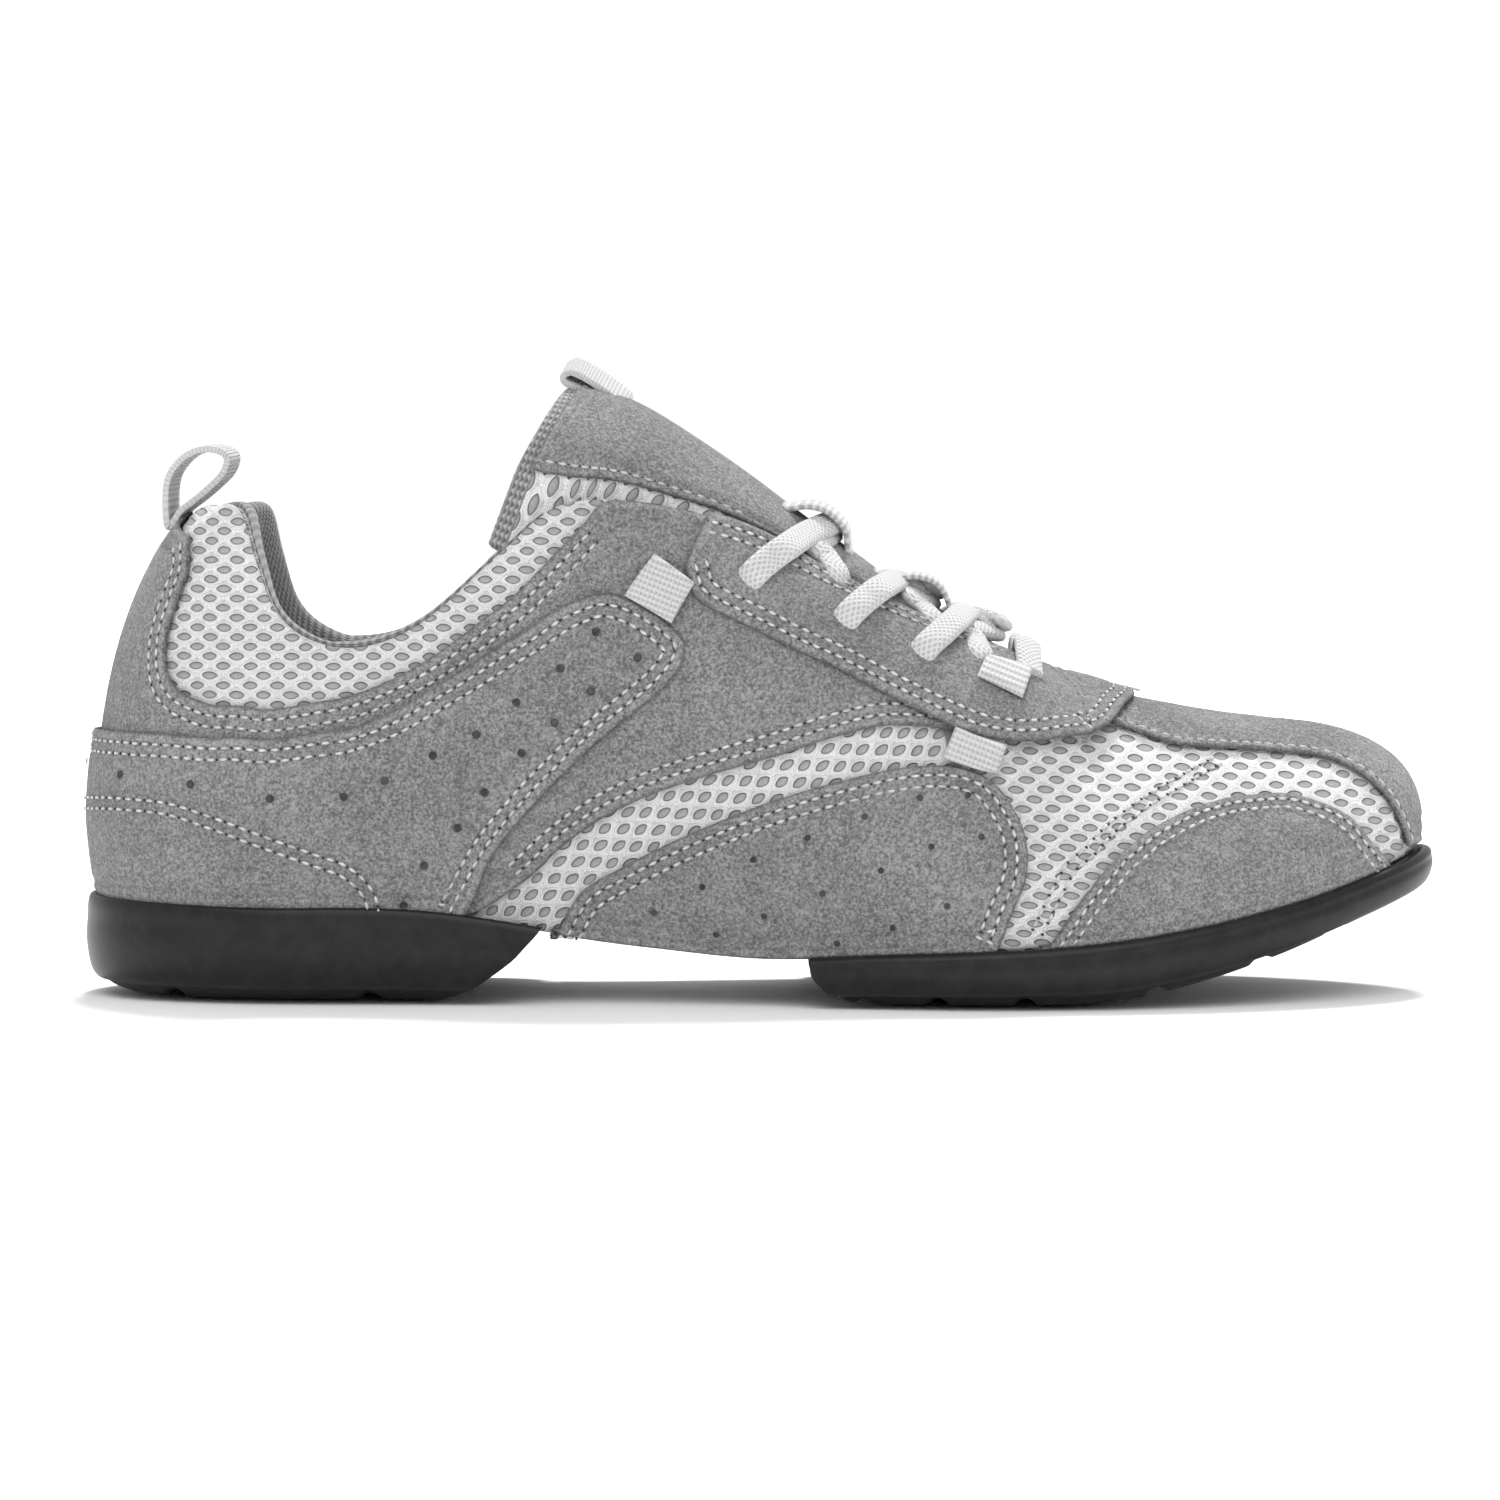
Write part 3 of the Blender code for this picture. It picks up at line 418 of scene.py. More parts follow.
def as_places(marks, lift=0.0):
    return marks if isinstance(marks, np.ndarray) else on_last(marks, lift)


def smooth_marks(marks, count):
    """A drawn line on the last: `count` even places from its first mark to its last."""
    places = as_places(marks)
    fine = through(np.arange(len(places)), places, np.linspace(0, len(places) - 1, 400))
    walked = walked_along(wall(-fine[:, 0], fine[:, 1]))
    even = np.linspace(0, walked[-1], count)
    return np.stack([np.interp(even, walked, fine[:, k]) for k in (0, 1)], -1)


print("a mark over the arch:", on_last([(110, 40)]).round(3))

# %% [markdown]
# ## Turning a grid into a piece
# Nearly every soft piece here begins as a flat `create_grid`, like cloth on the cutting table.
# Its points are then laid where they belong. A grid keeps its rows even, which makes smooth
# shading and even patterns. Each point also keeps its place on the flat cloth in an attribute
# called "cloth", in metres, so that a weave can follow the piece instead of cutting through it.

# %% Laying a grid and finishing a piece
def knots_for(cells, edge=0.0, edge_cells=0):
    """Places from 0 to 1 for a grid's lines, closer together near both ends."""
    middle = np.linspace(edge, 1 - edge, cells + 1)
    if not edge_cells:
        return middle
    lead = edge * np.linspace(0, 1, edge_cells + 1)[:-1] ** 1.5
    return np.concatenate([lead, middle, (1 - lead)[::-1]])


def laid_grid(s_knots, v_knots, lay):
    """A grid whose lines lie at the knots. lay(s, v) gives its points and their cloth places."""
    bm = bmesh.new()
    bmesh.ops.create_grid(
        bm, x_segments=len(s_knots) - 1, y_segments=len(v_knots) - 1, size=0.5
    )
    flat = np.array([vert.co for vert in bm.verts])
    s = s_knots[np.rint((flat[:, 0] + 0.5) * (len(s_knots) - 1)).astype(int)]
    v = v_knots[np.rint((flat[:, 1] + 0.5) * (len(v_knots) - 1)).astype(int)]
    points, cloth = lay(s, v)
    cloth_layer = bm.verts.layers.float_vector.new("cloth")
    for vert, point, place in zip(bm.verts, points, cloth):
        vert.co = point
        vert[cloth_layer] = Vector(place)
    bm.normal_update()
    return bm


def face_outward(bm):
    """Turns an open piece so that its faces look away from the middle of the shoe."""
    total = 0.0
    for face in bm.faces:
        middle = face.calc_center_median()
        inside = Vector((middle.x, float(swing(middle.x)), 0.3 * COLLAR_HEIGHT))
        total += face.normal.dot(middle - inside) * face.calc_area()
    if total < 0:
        bmesh.ops.reverse_faces(bm, faces=bm.faces)


def finished(name, bm, material, replaces=(), sharp=40):
    """Puts a shaped bmesh under the heel's origin as a piece that rides with the shoe."""
    bmesh.ops.translate(bm, vec=(-HEEL_REST, 0, 0), verts=bm.verts)
    mesh = bpy.data.meshes.new(name)
    bm.to_mesh(mesh)
    bm.free()
    piece = bpy.data.objects.new(name, mesh)
    bpy.context.scene.collection.objects.link(piece)
    for paint in material if isinstance(material, (list, tuple)) else [material]:
        mesh.materials.append(paint)
    mesh.shade_smooth()
    mesh.set_sharp_from_angle(angle=math.radians(sharp))
    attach(piece, "root")
    if replaces:
        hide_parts(*replaces)
    print(f"{name}: {len(mesh.polygons)} faces")
    return piece


def give_wall(piece, thickness, inner_slot=0, rim_slot=0, side=-1):
    solid = piece.modifiers.new("wall", "SOLIDIFY")
    solid.thickness = thickness
    solid.offset = side
    solid.use_even_offset = False
    solid.material_offset = inner_slot
    solid.material_offset_rim = rim_slot


# %% [markdown]
# ## Finishes
# Fabric, suede and rubber differ most in how they scatter light. Suede and knit are rough and
# have a soft glow at grazing angles, which the shader calls sheen. Rubber is smoother and shows
# a broad highlight. Relief that is too fine for geometry, such as nap, yarn and ribs, is drawn
# by nodes and given to a Bump node. `Recipe` is a short way to join such nodes.

# %% A short way to write nodes
class Recipe:
    """One material and its node tree. Each method adds a node and returns its output."""

    def __init__(self, name, rough, sheen=0.0, sheen_rough=0.5, specular=0.5):
        self.material = bpy.data.materials.new(name)
        self.material.use_nodes = True
        self.tree = self.material.node_tree
        self.shader = self.tree.nodes["Principled BSDF"]
        self.shader.inputs["Roughness"].default_value = rough
        self.shader.inputs["Sheen Weight"].default_value = sheen
        self.shader.inputs["Sheen Roughness"].default_value = sheen_rough
        self.shader.inputs["Specular IOR Level"].default_value = specular

    def join(self, value, socket):
        if isinstance(value, bpy.types.NodeSocket):
            self.tree.links.new(value, socket)
        else:
            socket.default_value = value

    def math(self, operation, first, second=0.0, clamp=False):
        node = self.tree.nodes.new("ShaderNodeMath")
        node.operation = operation
        node.use_clamp = clamp
        self.join(first, node.inputs[0])
        self.join(second, node.inputs[1])
        return node.outputs[0]

    def weighed(self, *parts):
        """The sum of some values, each multiplied by its share."""
        total, *others = (self.math("MULTIPLY", value, share) for value, share in parts)
        for other in others:
            total = self.math("ADD", total, other)
        return total

    def place(self):
        """Object coordinates, in metres."""
        return self.tree.nodes.new("ShaderNodeTexCoord").outputs["Object"]

    def cloth(self, axis):
        """One axis of the piece's own flat cloth, in metres."""
        read_cloth = self.tree.nodes.new("ShaderNodeAttribute")
        read_cloth.attribute_name = "cloth"
        apart = self.tree.nodes.new("ShaderNodeSeparateXYZ")
        self.tree.links.new(read_cloth.outputs["Vector"], apart.inputs[0])
        return apart.outputs[axis]

    def noise(self, scale, detail=2.0, rough=0.5):
        node = self.tree.nodes.new("ShaderNodeTexNoise")
        self.join(self.place(), node.inputs["Vector"])
        node.inputs["Scale"].default_value = scale
        node.inputs["Detail"].default_value = detail
        node.inputs["Roughness"].default_value = rough
        return node.outputs["Fac"]

    def ramp(self, value, *stops):
        """Turns a value from 0 to 1 into a grey through (place, grey) stops."""
        node = self.tree.nodes.new("ShaderNodeValToRGB")
        self.join(value, node.inputs[0])
        for number, (place, grey) in enumerate(stops):
            if number < 2:
                stop = node.color_ramp.elements[number]
                stop.position = place
            else:
                stop = node.color_ramp.elements.new(place)
            stop.color = (grey, grey, grey, 1)
        return node.outputs[0]

    def bump(self, height, depth, strength=1.0):
        node = self.tree.nodes.new("ShaderNodeBump")
        node.inputs["Strength"].default_value = strength
        node.inputs["Distance"].default_value = depth
        self.tree.links.new(height, node.inputs["Height"])
        self.tree.links.new(node.outputs[0], self.shader.inputs["Normal"])

    def colour(self, value):
        self.tree.links.new(value, self.shader.inputs["Base Color"])


# %% [markdown]
# Suede is leather brushed to a short nap. Strokes of the hand leave lighter and darker clouds,
# and the fibres give a fine grain. Three noises do this: a large one for the clouds, a smaller
# one for the nap and a very small one for the grain. The last two also drive the bump, and the
# grain's strong speckle is partly the suede's own tone and partly painted shade of its relief.
# The third cloth place holds the distance to the panel's cut edge. From it comes painted light:
# a painted shadow in the crease at the very edge, a painted highlight on the rolled band inside
# it, and painted shade in the valleys where a seam pulls the suede in.

# %% Suede, rubber, thread and plain dark
def make_suede(name, grey):
    suede = Recipe(name, rough=0.92, sheen=0.25, sheen_rough=0.5, specular=0.12)
    clouds = suede.noise(38, detail=3, rough=0.6)
    nap = suede.noise(520, detail=3, rough=0.6)
    grain = suede.noise(1650, detail=4, rough=0.8)
    mixed = suede.weighed((clouds, 0.12), (nap, 0.14), (grain, 0.74))
    # the grain's speckle is partly the suede's own tone and partly painted shade of its relief
    shade = suede.ramp(mixed, (0.41, grey * 0.46), (0.50, grey), (0.59, grey * 1.74))
    from_edge = suede.math("MULTIPLY", suede.cloth(2), 100.0, clamp=True)
    # painted light from the edge distance: a painted shadow at the cut edge, a painted highlight on
    # the rolled band, and painted shade in the two seam valleys
    painted_edge_shading = suede.ramp(
        from_edge, (0.0, 0.42), (0.03, 0.70), (0.07, 1.0), (0.14, 0.99), (0.20, 0.78),
        (0.26, 0.92), (0.38, 0.90), (0.43, 0.80), (0.50, 0.90),
    )
    suede.colour(suede.math("MULTIPLY", shade, suede.math("MULTIPLY", painted_edge_shading, 1.11)))
    relief = suede.math("ADD", suede.math("MULTIPLY", nap, 0.5), grain)
    suede.bump(relief, 0.0009, 1.0)
    return suede.material


def make_rubber():
    rubber = Recipe("black_rubber", rough=0.38, specular=0.24)
    dust = rubber.noise(230, detail=4, rough=0.65)
    rubber.colour(rubber.ramp(dust, (0.35, 0.006), (0.75, 0.015)))
    fine = rubber.noise(1400, detail=2)
    rubber.bump(fine, 0.00006, 0.6)
    return rubber.material


def make_thread():
    thread = Recipe("pale_thread", rough=0.6, sheen=0.3, specular=0.3)
    wear = thread.noise(500, detail=2)
    thread.colour(thread.ramp(wear, (0.3, 0.36), (0.7, 0.58)))
    ply = thread.noise(2600, detail=1)
    thread.bump(ply, 0.0001, 0.5)
    return thread.material


def make_hole():
    hole = Recipe("needle_shadow", rough=0.95, specular=0.05)
    # painted shade: the dark colour stands in for the shade inside needle holes and punched holes
    depth = hole.noise(900, detail=1)
    hole.colour(hole.ramp(depth, (0.3, 0.030), (0.7, 0.075)))
    return hole.material


SUEDE_PAINT = make_suede("grey_suede", 0.230)
RUBBER_PAINT = make_rubber()
THREAD_PAINT = make_thread()
HOLE_PAINT = make_hole()
print("suede, rubber, thread and needle holes are mixed")

# %% [markdown]
# The upper's mesh is a thick knit with rows of oval openings, each row half a step beside the
# next. The pattern is drawn from the cloth attribute. Two sets of rows are laid, the second moved
# by half a step both ways, and each point takes the nearer opening. The distance from it says
# whether there is a gap or yarn, and gives the strands that run round each opening. The colour
# also holds painted shade: a dark ring round the edge of each opening, and round each opening a
# tone that darkens towards the top and lightens towards the bottom, as if the yarn above shades it.
# The distance from it says
# whether there is a gap or yarn, and gives the strands that run round each opening.

# %% Mesh, lining and webbing
MESH_PITCH = 0.0055
MESH_ROW = 0.0021
# from the middle of an opening to its edge, as a share of the pitch each way
OPENING_WIDE, OPENING_TALL = 0.285, 0.215


def make_mesh_fabric():
    fabric = Recipe("air_mesh", rough=0.85, sheen=0.2, specular=0.2)
    m = fabric.math
    across, up = fabric.cloth(0), fabric.cloth(1)
    wander = m("MULTIPLY", m("SUBTRACT", fabric.noise(260, detail=1), 0.5), 0.0009)
    across, up = m("ADD", across, wander), m("SUBTRACT", up, m("MULTIPLY", wander, 0.5))

    def from_opening(shift):
        """Distance from the nearest opening of every second row, 1 at the opening's edge."""

        def off_middle(value, pitch):
            counted = m("ADD", m("DIVIDE", value, pitch), 1000.0 + shift)
            return m("SUBTRACT", m("FRACT", counted), 0.5)

        aside, above = off_middle(across, MESH_PITCH), off_middle(up, 2 * MESH_ROW)
        wide = m("POWER", m("DIVIDE", m("ABSOLUTE", aside), OPENING_WIDE), 1.9)
        tall = m("POWER", m("DIVIDE", m("ABSOLUTE", above), OPENING_TALL), 1.5)
        return m("SQRT", m("ADD", wide, tall)), above

    one, above_one = from_opening(0.0)
    other, above_other = from_opening(0.5)
    away = m("MINIMUM", one, other)
    first_is_nearer = m("LESS_THAN", one, other)
    above = m("ADD", m("MULTIPLY", above_one, first_is_nearer),
              m("MULTIPLY", above_other, m("SUBTRACT", 1.0, first_is_nearer)))
    place = m("MULTIPLY", away, 0.5)
    strands = m("SINE", m("MULTIPLY", away, 27.0))
    fuzz = fabric.noise(1900, detail=3, rough=0.8)
    clouds = fabric.noise(70, detail=2)
    height = fabric.ramp(place, (0.40, 0.0), (0.53, 1.0), (0.75, 0.85), (1.0, 0.80))
    height = m("ADD", height, m("MULTIPLY", m("MULTIPLY", strands, height), 0.14))
    # the dark stop at 0.45 is painted shade in a ring round the edge of each opening
    shade = fabric.ramp(place, (0.0, 0.30), (0.32, 0.27), (0.45, 0.20), (0.53, 0.80), (0.80, 0.68))
    yarn = fabric.ramp(place, (0.46, 0.0), (0.53, 1.0))
    # painted shade: round each opening the colour darkens towards the top and lightens towards the
    # bottom
    shade = m("ADD", shade, m("MULTIPLY", above, -0.28))
    shade = m("ADD", shade, m("MULTIPLY", m("MULTIPLY", strands, yarn), 0.085))
    shade = m("MULTIPLY", shade, m("ADD", m("MULTIPLY", fuzz, 0.7), 0.65))
    shade = m("MULTIPLY", shade, m("ADD", m("MULTIPLY", clouds, 0.25), 0.87))
    fabric.colour(m("MINIMUM", m("MAXIMUM", shade, 0.06), 0.82))
    fabric.bump(m("ADD", height, m("MULTIPLY", fuzz, 0.20)), 0.0008, 1.0)
    return fabric.material


def make_knit():
    """The dark lining: small loops in columns."""
    knit = Recipe("dark_lining_knit", rough=0.95, sheen=0.4, specular=0.15)
    m = knit.math
    across, up = knit.cloth(0), knit.cloth(1)
    column = m("SINE", m("MULTIPLY", across, 5200.0))
    loop = m("SINE", m("ADD", m("MULTIPLY", up, 6800.0), m("MULTIPLY", column, 1.4)))
    height = m("ADD", m("MULTIPLY", m("ADD", column, loop), 0.25), 0.5)
    fuzz = knit.noise(1300, detail=2)
    light = knit.weighed((height, 0.6), (fuzz, 0.4))
    knit.colour(knit.ramp(light, (0.25, 0.09), (0.50, 0.18), (0.78, 0.34)))
    knit.bump(height, 0.0003, 0.6)
    return knit.material


def make_webbing():
    """Woven tape: ribs across its width."""
    tape = Recipe("pale_webbing", rough=0.8, sheen=0.3, specular=0.25)
    m = tape.math
    across, along = tape.cloth(0), tape.cloth(1)
    rib = m("SINE", m("MULTIPLY", along, 5600.0))
    weave = m("SINE", m("ADD", m("MULTIPLY", across, 7000.0), m("MULTIPLY", rib, 1.2)))
    height = m("ADD", m("MULTIPLY", rib, 0.32), m("ADD", m("MULTIPLY", weave, 0.18), 0.5))
    fuzz = tape.noise(1600, detail=2)
    light = tape.weighed((height, 0.65), (fuzz, 0.35))
    tape.colour(tape.ramp(light, (0.20, 0.33), (0.50, 0.45), (0.80, 0.55)))
    tape.bump(height, 0.0004, 0.8)
    return tape.material


def make_lace_cord():
    """A flat braid: two sets of strands cross, which leaves small diamonds."""
    braid = Recipe("braided_lace", rough=0.8, sheen=0.3, specular=0.25)
    m = braid.math
    across, along = braid.cloth(0), braid.cloth(1)
    one = m("SINE", m("ADD", m("MULTIPLY", along, 4200.0), m("MULTIPLY", across, 5200.0)))
    other = m("SINE", m("SUBTRACT", m("MULTIPLY", along, 4200.0), m("MULTIPLY", across, 5200.0)))
    height = m("ADD", m("MULTIPLY", m("MAXIMUM", one, other), 0.5), 0.4)
    fuzz = braid.noise(1600, detail=2)
    light = braid.weighed((height, 0.65), (fuzz, 0.35))
    braid.colour(braid.ramp(light, (0.20, 0.40), (0.50, 0.49), (0.80, 0.56)))
    braid.bump(height, 0.0004, 0.8)
    return braid.material


MESH_PAINT = make_mesh_fabric()
KNIT_PAINT = make_knit()
WEBBING_PAINT = make_webbing()
LACE_PAINT = make_lace_cord()
print("mesh, lining, webbing and lace are mixed")

# %% [markdown]
# ## The mesh bootie
# Under the suede the shoe is one bag of mesh. It is laid as a single grid round the last and
# closed along the ridge over the toes by merging the two halves. Solidify gives it a wall, whose
# inner face is the dark lining. The cloth places differ by region, because the real mesh was cut
# in several parts: under the collar, along the side and over the toes. The joins between them lie
# hidden under the suede.

# %% Upper and board
STRIPE_TILT = math.radians(36)
# the mesh is level before this turn and above this rise, and another part from the toes' turn
LEVEL_TURN, LEVEL_RISE, TOE_TURN = 62, 0.62, 108.5


def mesh_cloth(around, rise, points):
    """Flat places of the mesh: level rows, and tilted rows in the stripe along the side."""
    turn = fold(around)
    x, z = points[:, 0], points[:, 2]
    level = np.stack([x * 1.02, z * 1.12], -1)
    tilted = np.stack(
        [
            x * math.cos(STRIPE_TILT) + z * math.sin(STRIPE_TILT),
            z * math.cos(STRIPE_TILT) - x * math.sin(STRIPE_TILT),
        ],
        -1,
    )
    over_toes = np.stack([x * 0.95 + 0.35 * (z - 0.03), z * 1.15], -1)
    cloth = np.where(((turn < LEVEL_TURN) | (rise > LEVEL_RISE))[:, None], level, tilted)
    cloth = np.where((turn > TOE_TURN)[:, None], over_toes, cloth)
    return np.concatenate([cloth, np.zeros((len(cloth), 1))], 1)


def make_upper():
    tight = THROAT_TURN - 3
    turns = np.concatenate(
        [
            np.linspace(-180, -THROAT_TURN, 60)[:-1],
            np.linspace(-THROAT_TURN, -tight, 14)[:-1],
            np.linspace(-tight, tight, 230)[:-1],
            np.linspace(tight, THROAT_TURN, 14)[:-1],
            np.linspace(THROAT_TURN, 180, 60),
        ]
    )

    def lay(s, v):
        points = surface(s, v)
        return points, mesh_cloth(s, v, points)

    bm = laid_grid(turns, np.linspace(0, 1, 49), lay)
    rim = [v for v in bm.verts if v.is_boundary and v.co.z > 0.4 * HEEL_LIFT]
    bmesh.ops.remove_doubles(bm, verts=rim, dist=0.0001)
    face_outward(bm)
    piece = finished("upper_mesh", bm, [MESH_PAINT, KNIT_PAINT], ["upper"])
    give_wall(piece, UPPER_WALL, inner_slot=1, rim_slot=1)


def make_board():
    """The cloth that closes the shoe from below, between the two edges of the upper."""

    def lay(s, v):
        turn = 180 * s
        across = 2 * v - 1
        outer, inner = bottom_edge(-turn, -0.0006), bottom_edge(turn, -0.0006)
        points = outer + (inner - outer) * ((across + 1) / 2)[:, None]
        points[:, 2] = under_height(points[:, 0]) + 0.0004
        cloth = np.stack([points[:, 0], points[:, 1], 0 * s], -1)
        return points, cloth

    bm = laid_grid(np.linspace(0.004, 0.996, 91), np.linspace(0, 1, 17), lay)
    bmesh.ops.recalc_face_normals(bm, faces=bm.faces)
    if sum(face.normal.z for face in bm.faces) > 0:
        bmesh.ops.reverse_faces(bm, faces=bm.faces)
    piece = finished("lasting_board", bm, MESH_PAINT)
    give_wall(piece, 0.0012)


make_upper()
make_board()

# %% [markdown]
# ## Suede panels
# A suede overlay is cut flat, laid on the mesh and stitched round its edge. Its cut edge is soft
# and rolls down to the mesh, and each row of stitches pulls a shallow valley into it. A panel is
# a grid between two drawn lines. For each of its points we measure the distance to the panel's
# border, and from this comes the roll at the edge and the valleys under the stitches.

# %% A panel between two lines
EDGE_ROLL = 0.0015
SEAM_ROWS = (0.0021, 0.0043)
SEAM_DEPTH = 0.00045
SEAM_WIDTH = 0.00070


def border_distance(points, border):
    """Distance of each point to the nearest point of the border."""
    tree = KDTree(len(border))
    for number, point in enumerate(border):
        tree.insert(point, number)
    tree.balance()
    return np.array([tree.find(point)[2] for point in points])


def rolled(distance):
    """The roll of a cut edge: 0 at the edge, and 1 where the roll ends."""
    return np.sqrt(1 - (1 - np.clip(distance / EDGE_ROLL, 0, 1)) ** 2)


def valley(distance, seam):
    """How far a row of stitches pulls the suede in."""
    return SEAM_DEPTH * np.exp(-(((distance - seam) / SEAM_WIDTH) ** 2))


def padding(distance, layer, seams):
    """Height of a panel's face over the mesh, from the distance to its border."""
    height = layer_face(layer) - 0.75 * SUEDE * (1 - rolled(distance))
    for seam in seams:
        height = height - valley(distance, seam)
    return height


def eased(rows):
    """Places from 0 to 1 that crowd together towards both ends."""
    return (1 - np.cos(np.pi * np.linspace(0, 1, rows + 1))) / 2


def between(first, second, side=-1):
    """Places between two drawn lines on one side of the shoe: s runs along, v across."""
    one, two = as_places(first), as_places(second)
    stations = np.arange(len(one))

    def places(s, v):
        at = s * (len(one) - 1)
        near, far = through(stations, one, at), through(stations, two, at)
        both = near + (far - near) * v[:, None]
        return side * both[:, 0], np.clip(both[:, 1], 0, 1)

    return places


def round_heel(first, second):
    """The same, mirrored where the lines begin: the middle of the heel."""
    lines = (as_places(first), as_places(second))
    return between(*(np.concatenate([line[:0:-1] * (-1, 1), line]) for line in lines))


def over_ridge(first, second):
    """The same, mirrored over the ridge of the toes, where a half is drawn from its middle."""
    half = between(first, second, 1)

    def places(s, v):
        turn, rise = half(np.abs(2 * s - 1), v)
        return np.where(s < 0.5, -turn, turn), rise

    return places


def along_ridge(middle, edge):
    """A strip along the ridge: s runs along it, v goes from one edge over to the other."""
    half = between(middle, edge, 1)

    def places(s, v):
        turn, rise = half(s, np.abs(2 * v - 1))
        return np.where(v < 0.5, -turn, turn), rise

    return places


CROWN = 0.0004


def panel(name, places, layer, replaces=(), columns=150, rows=34, seams=SEAM_ROWS,
          crown=CROWN, material=None, edge=0.008):
    """An overlay that covers `places`, `layer` layers over the mesh."""
    s_knots = knots_for(columns, edge, 4)
    v_knots = eased(rows)
    run = np.linspace(0, 1, 900)
    sides = [(run, 0 * run), (run, 0 * run + 1), (0 * run, run), (0 * run + 1, run)]
    border = np.concatenate([wall(*places(*pair)) for pair in sides])

    def lay(s, v):
        around, rise = places(s, v)
        bare = wall(around, rise)
        distance = border_distance(bare, border)
        distance[(s == 0) | (s == 1) | (v == 0) | (v == 1)] = 0
        height = padding(distance, layer, seams)
        height = height + crown * np.clip((distance - 0.006) / 0.01, 0, 1)
        points = bare + height[:, None] * facing(around, rise)
        # the distance is kept as the third cloth place, and the suede's painted edge shade and
        # highlight are read from it
        return points, np.stack([points[:, 0], points[:, 2], distance], -1)

    bm = laid_grid(s_knots, v_knots, lay)
    face_outward(bm)
    piece = finished(name, bm, material or SUEDE_PAINT, replaces)
    give_wall(piece, 0.8 * SUEDE)
    return piece


# %% [markdown]
# The quarter runs from the heel strap under the mesh collar panel and up to the eyestay. Its
# first line is the border of the collar panel and then the top line, and its second line is the
# middle of the heel, the bottom edge and the long slanting edge beside the mesh stripe.

# %% Quarter and heel wing
QUARTER_INNER = (
    (19.9, 90.6), (19.7, 84.6), (17.6, 78.4), (15.5, 71.7), (15.1, 65.7), (16.4, 61.6),
    (19.8, 58.8), (25.0, 57.0), (33.0, 56.4), (44.0, 57.4), (55.0, 59.8), (66.0, 65.0),
    (75.7, 71.7), (84.3, 78.2), (92.9, 86.8), (98.9, 93.0), (104.6, RIM), (124.0, RIM),
    (142.0, RIM), (162.0, RIM), (189.0, RIM),
)
QUARTER_OUTER = (
    (BACK, 97.0), (BACK, 84.0), (BACK, 70.0), (BACK, 52.0), (BACK, 32.0), (BACK, 17.0),
    (16.0, SOLE), (32.0, SOLE), (52.0, SOLE), (72.0, SOLE), (86.4, 21.0), (94.0, 28.0),
    (102.0, 33.8), (111.0, 38.4), (121.0, 42.0), (130.4, 44.8), (139.4, 47.4), (149.4, 50.8),
    (160.4, 53.2), (173.4, 52.4), (190.0, 50.6),
)
WING_TOP = (
    (BACK, 52.2), (11.2, 51.4), (22.0, 50.6), (33.0, 50.2), (44.0, 51.2), (55.0, 53.2),
    (67.1, 59.3), (78.0, 66.0), (88.6, 72.6), (97.2, 77.7), (102.6, 79.3), (108.2, 78.2),
    (114.6, 74.6),
)
WING_FRONT = (
    (BACK, 17.0), (13.0, SOLE), (29.0, SOLE), (45.0, SOLE), (59.0, SOLE), (73.6, SOLE),
    (80.6, 26.4), (88.6, 36.5), (96.4, 44.6), (105.2, 52.4), (113.6, 59.2), (118.4, 64.8),
    (119.4, 69.8),
)
QUARTER_INNER, QUARTER_OUTER = (
    on_last(line, layer_face(1)) for line in (QUARTER_INNER, QUARTER_OUTER)
)
WING_TOP, WING_FRONT = (on_last(line, layer_face(2)) for line in (WING_TOP, WING_FRONT))
panel("quarter_suede_outer", between(QUARTER_INNER, QUARTER_OUTER), 1, ["quarter"], 240, 40)
panel("quarter_suede_inner", between(QUARTER_INNER, QUARTER_OUTER, 1), 1, (), 240, 40)
panel("heel_wing_suede", round_heel(WING_TOP, WING_FRONT), 2, ["heel_wing"], 260, 40)

# %% [markdown]
# The eyestay is a U round the throat, which the laces pull together. The side patch guards the
# arch and ball, and half-moons and a strip guard the toes. They are drawn in the same way.

# %% Eyestay, side patches and toe pieces
THROAT_EDGE = np.array((
    (122.0, 1.0), (121.8, 1.0), (121.0, 1.0), (119.4, 1.0), (117.0, 1.0), (114.0, 1.0),
    (110.5, 1.0), (107.0, 1.0), (103.0, 1.0), (99.0, 1.0), (95.5, 1.0), (92.0, 1.0), (88.5, 1.0),
))
STAY_FRONT = np.array(((134.4, 1.0), (132.2, 0.895), (129.2, 0.80)))
STAY_EDGE = (
    (203.6, 53.4), (195.8, 51.2), (188.4, 50.2), (180.4, 50.8), (170.4, 54.4), (160.4, 59.2),
    (150.4, 64.4), (138.4, 69.8), (122.8, 77.6), (119.2, 84.6),
)
PATCH_TOP = (
    (93.4, SOLE), (98.4, 19.2), (106.4, 24.2), (114.4, 28.4), (123.2, 32.4), (133.0, 36.4),
    (142.4, 39.6), (151.0, 42.0), (160.0, 44.2), (168.6, 45.2), (175.4, 44.6), (180.6, 42.2),
    (184.6, 37.6), (187.6, 31.0), (187.8, 22.6), (184.8, 14.8), (181.8, SOLE),
)
PATCH_FOOT = (
    (92.4, SOLE), (97.4, SOLE), (103.4, SOLE), (110.4, SOLE), (117.4, SOLE), (125.4, SOLE),
    (133.4, SOLE), (141.4, SOLE), (149.4, SOLE), (156.4, SOLE), (162.0, SOLE), (166.6, SOLE),
    (170.4, SOLE), (173.6, SOLE), (176.4, SOLE), (179.0, SOLE), (181.8, SOLE),
)
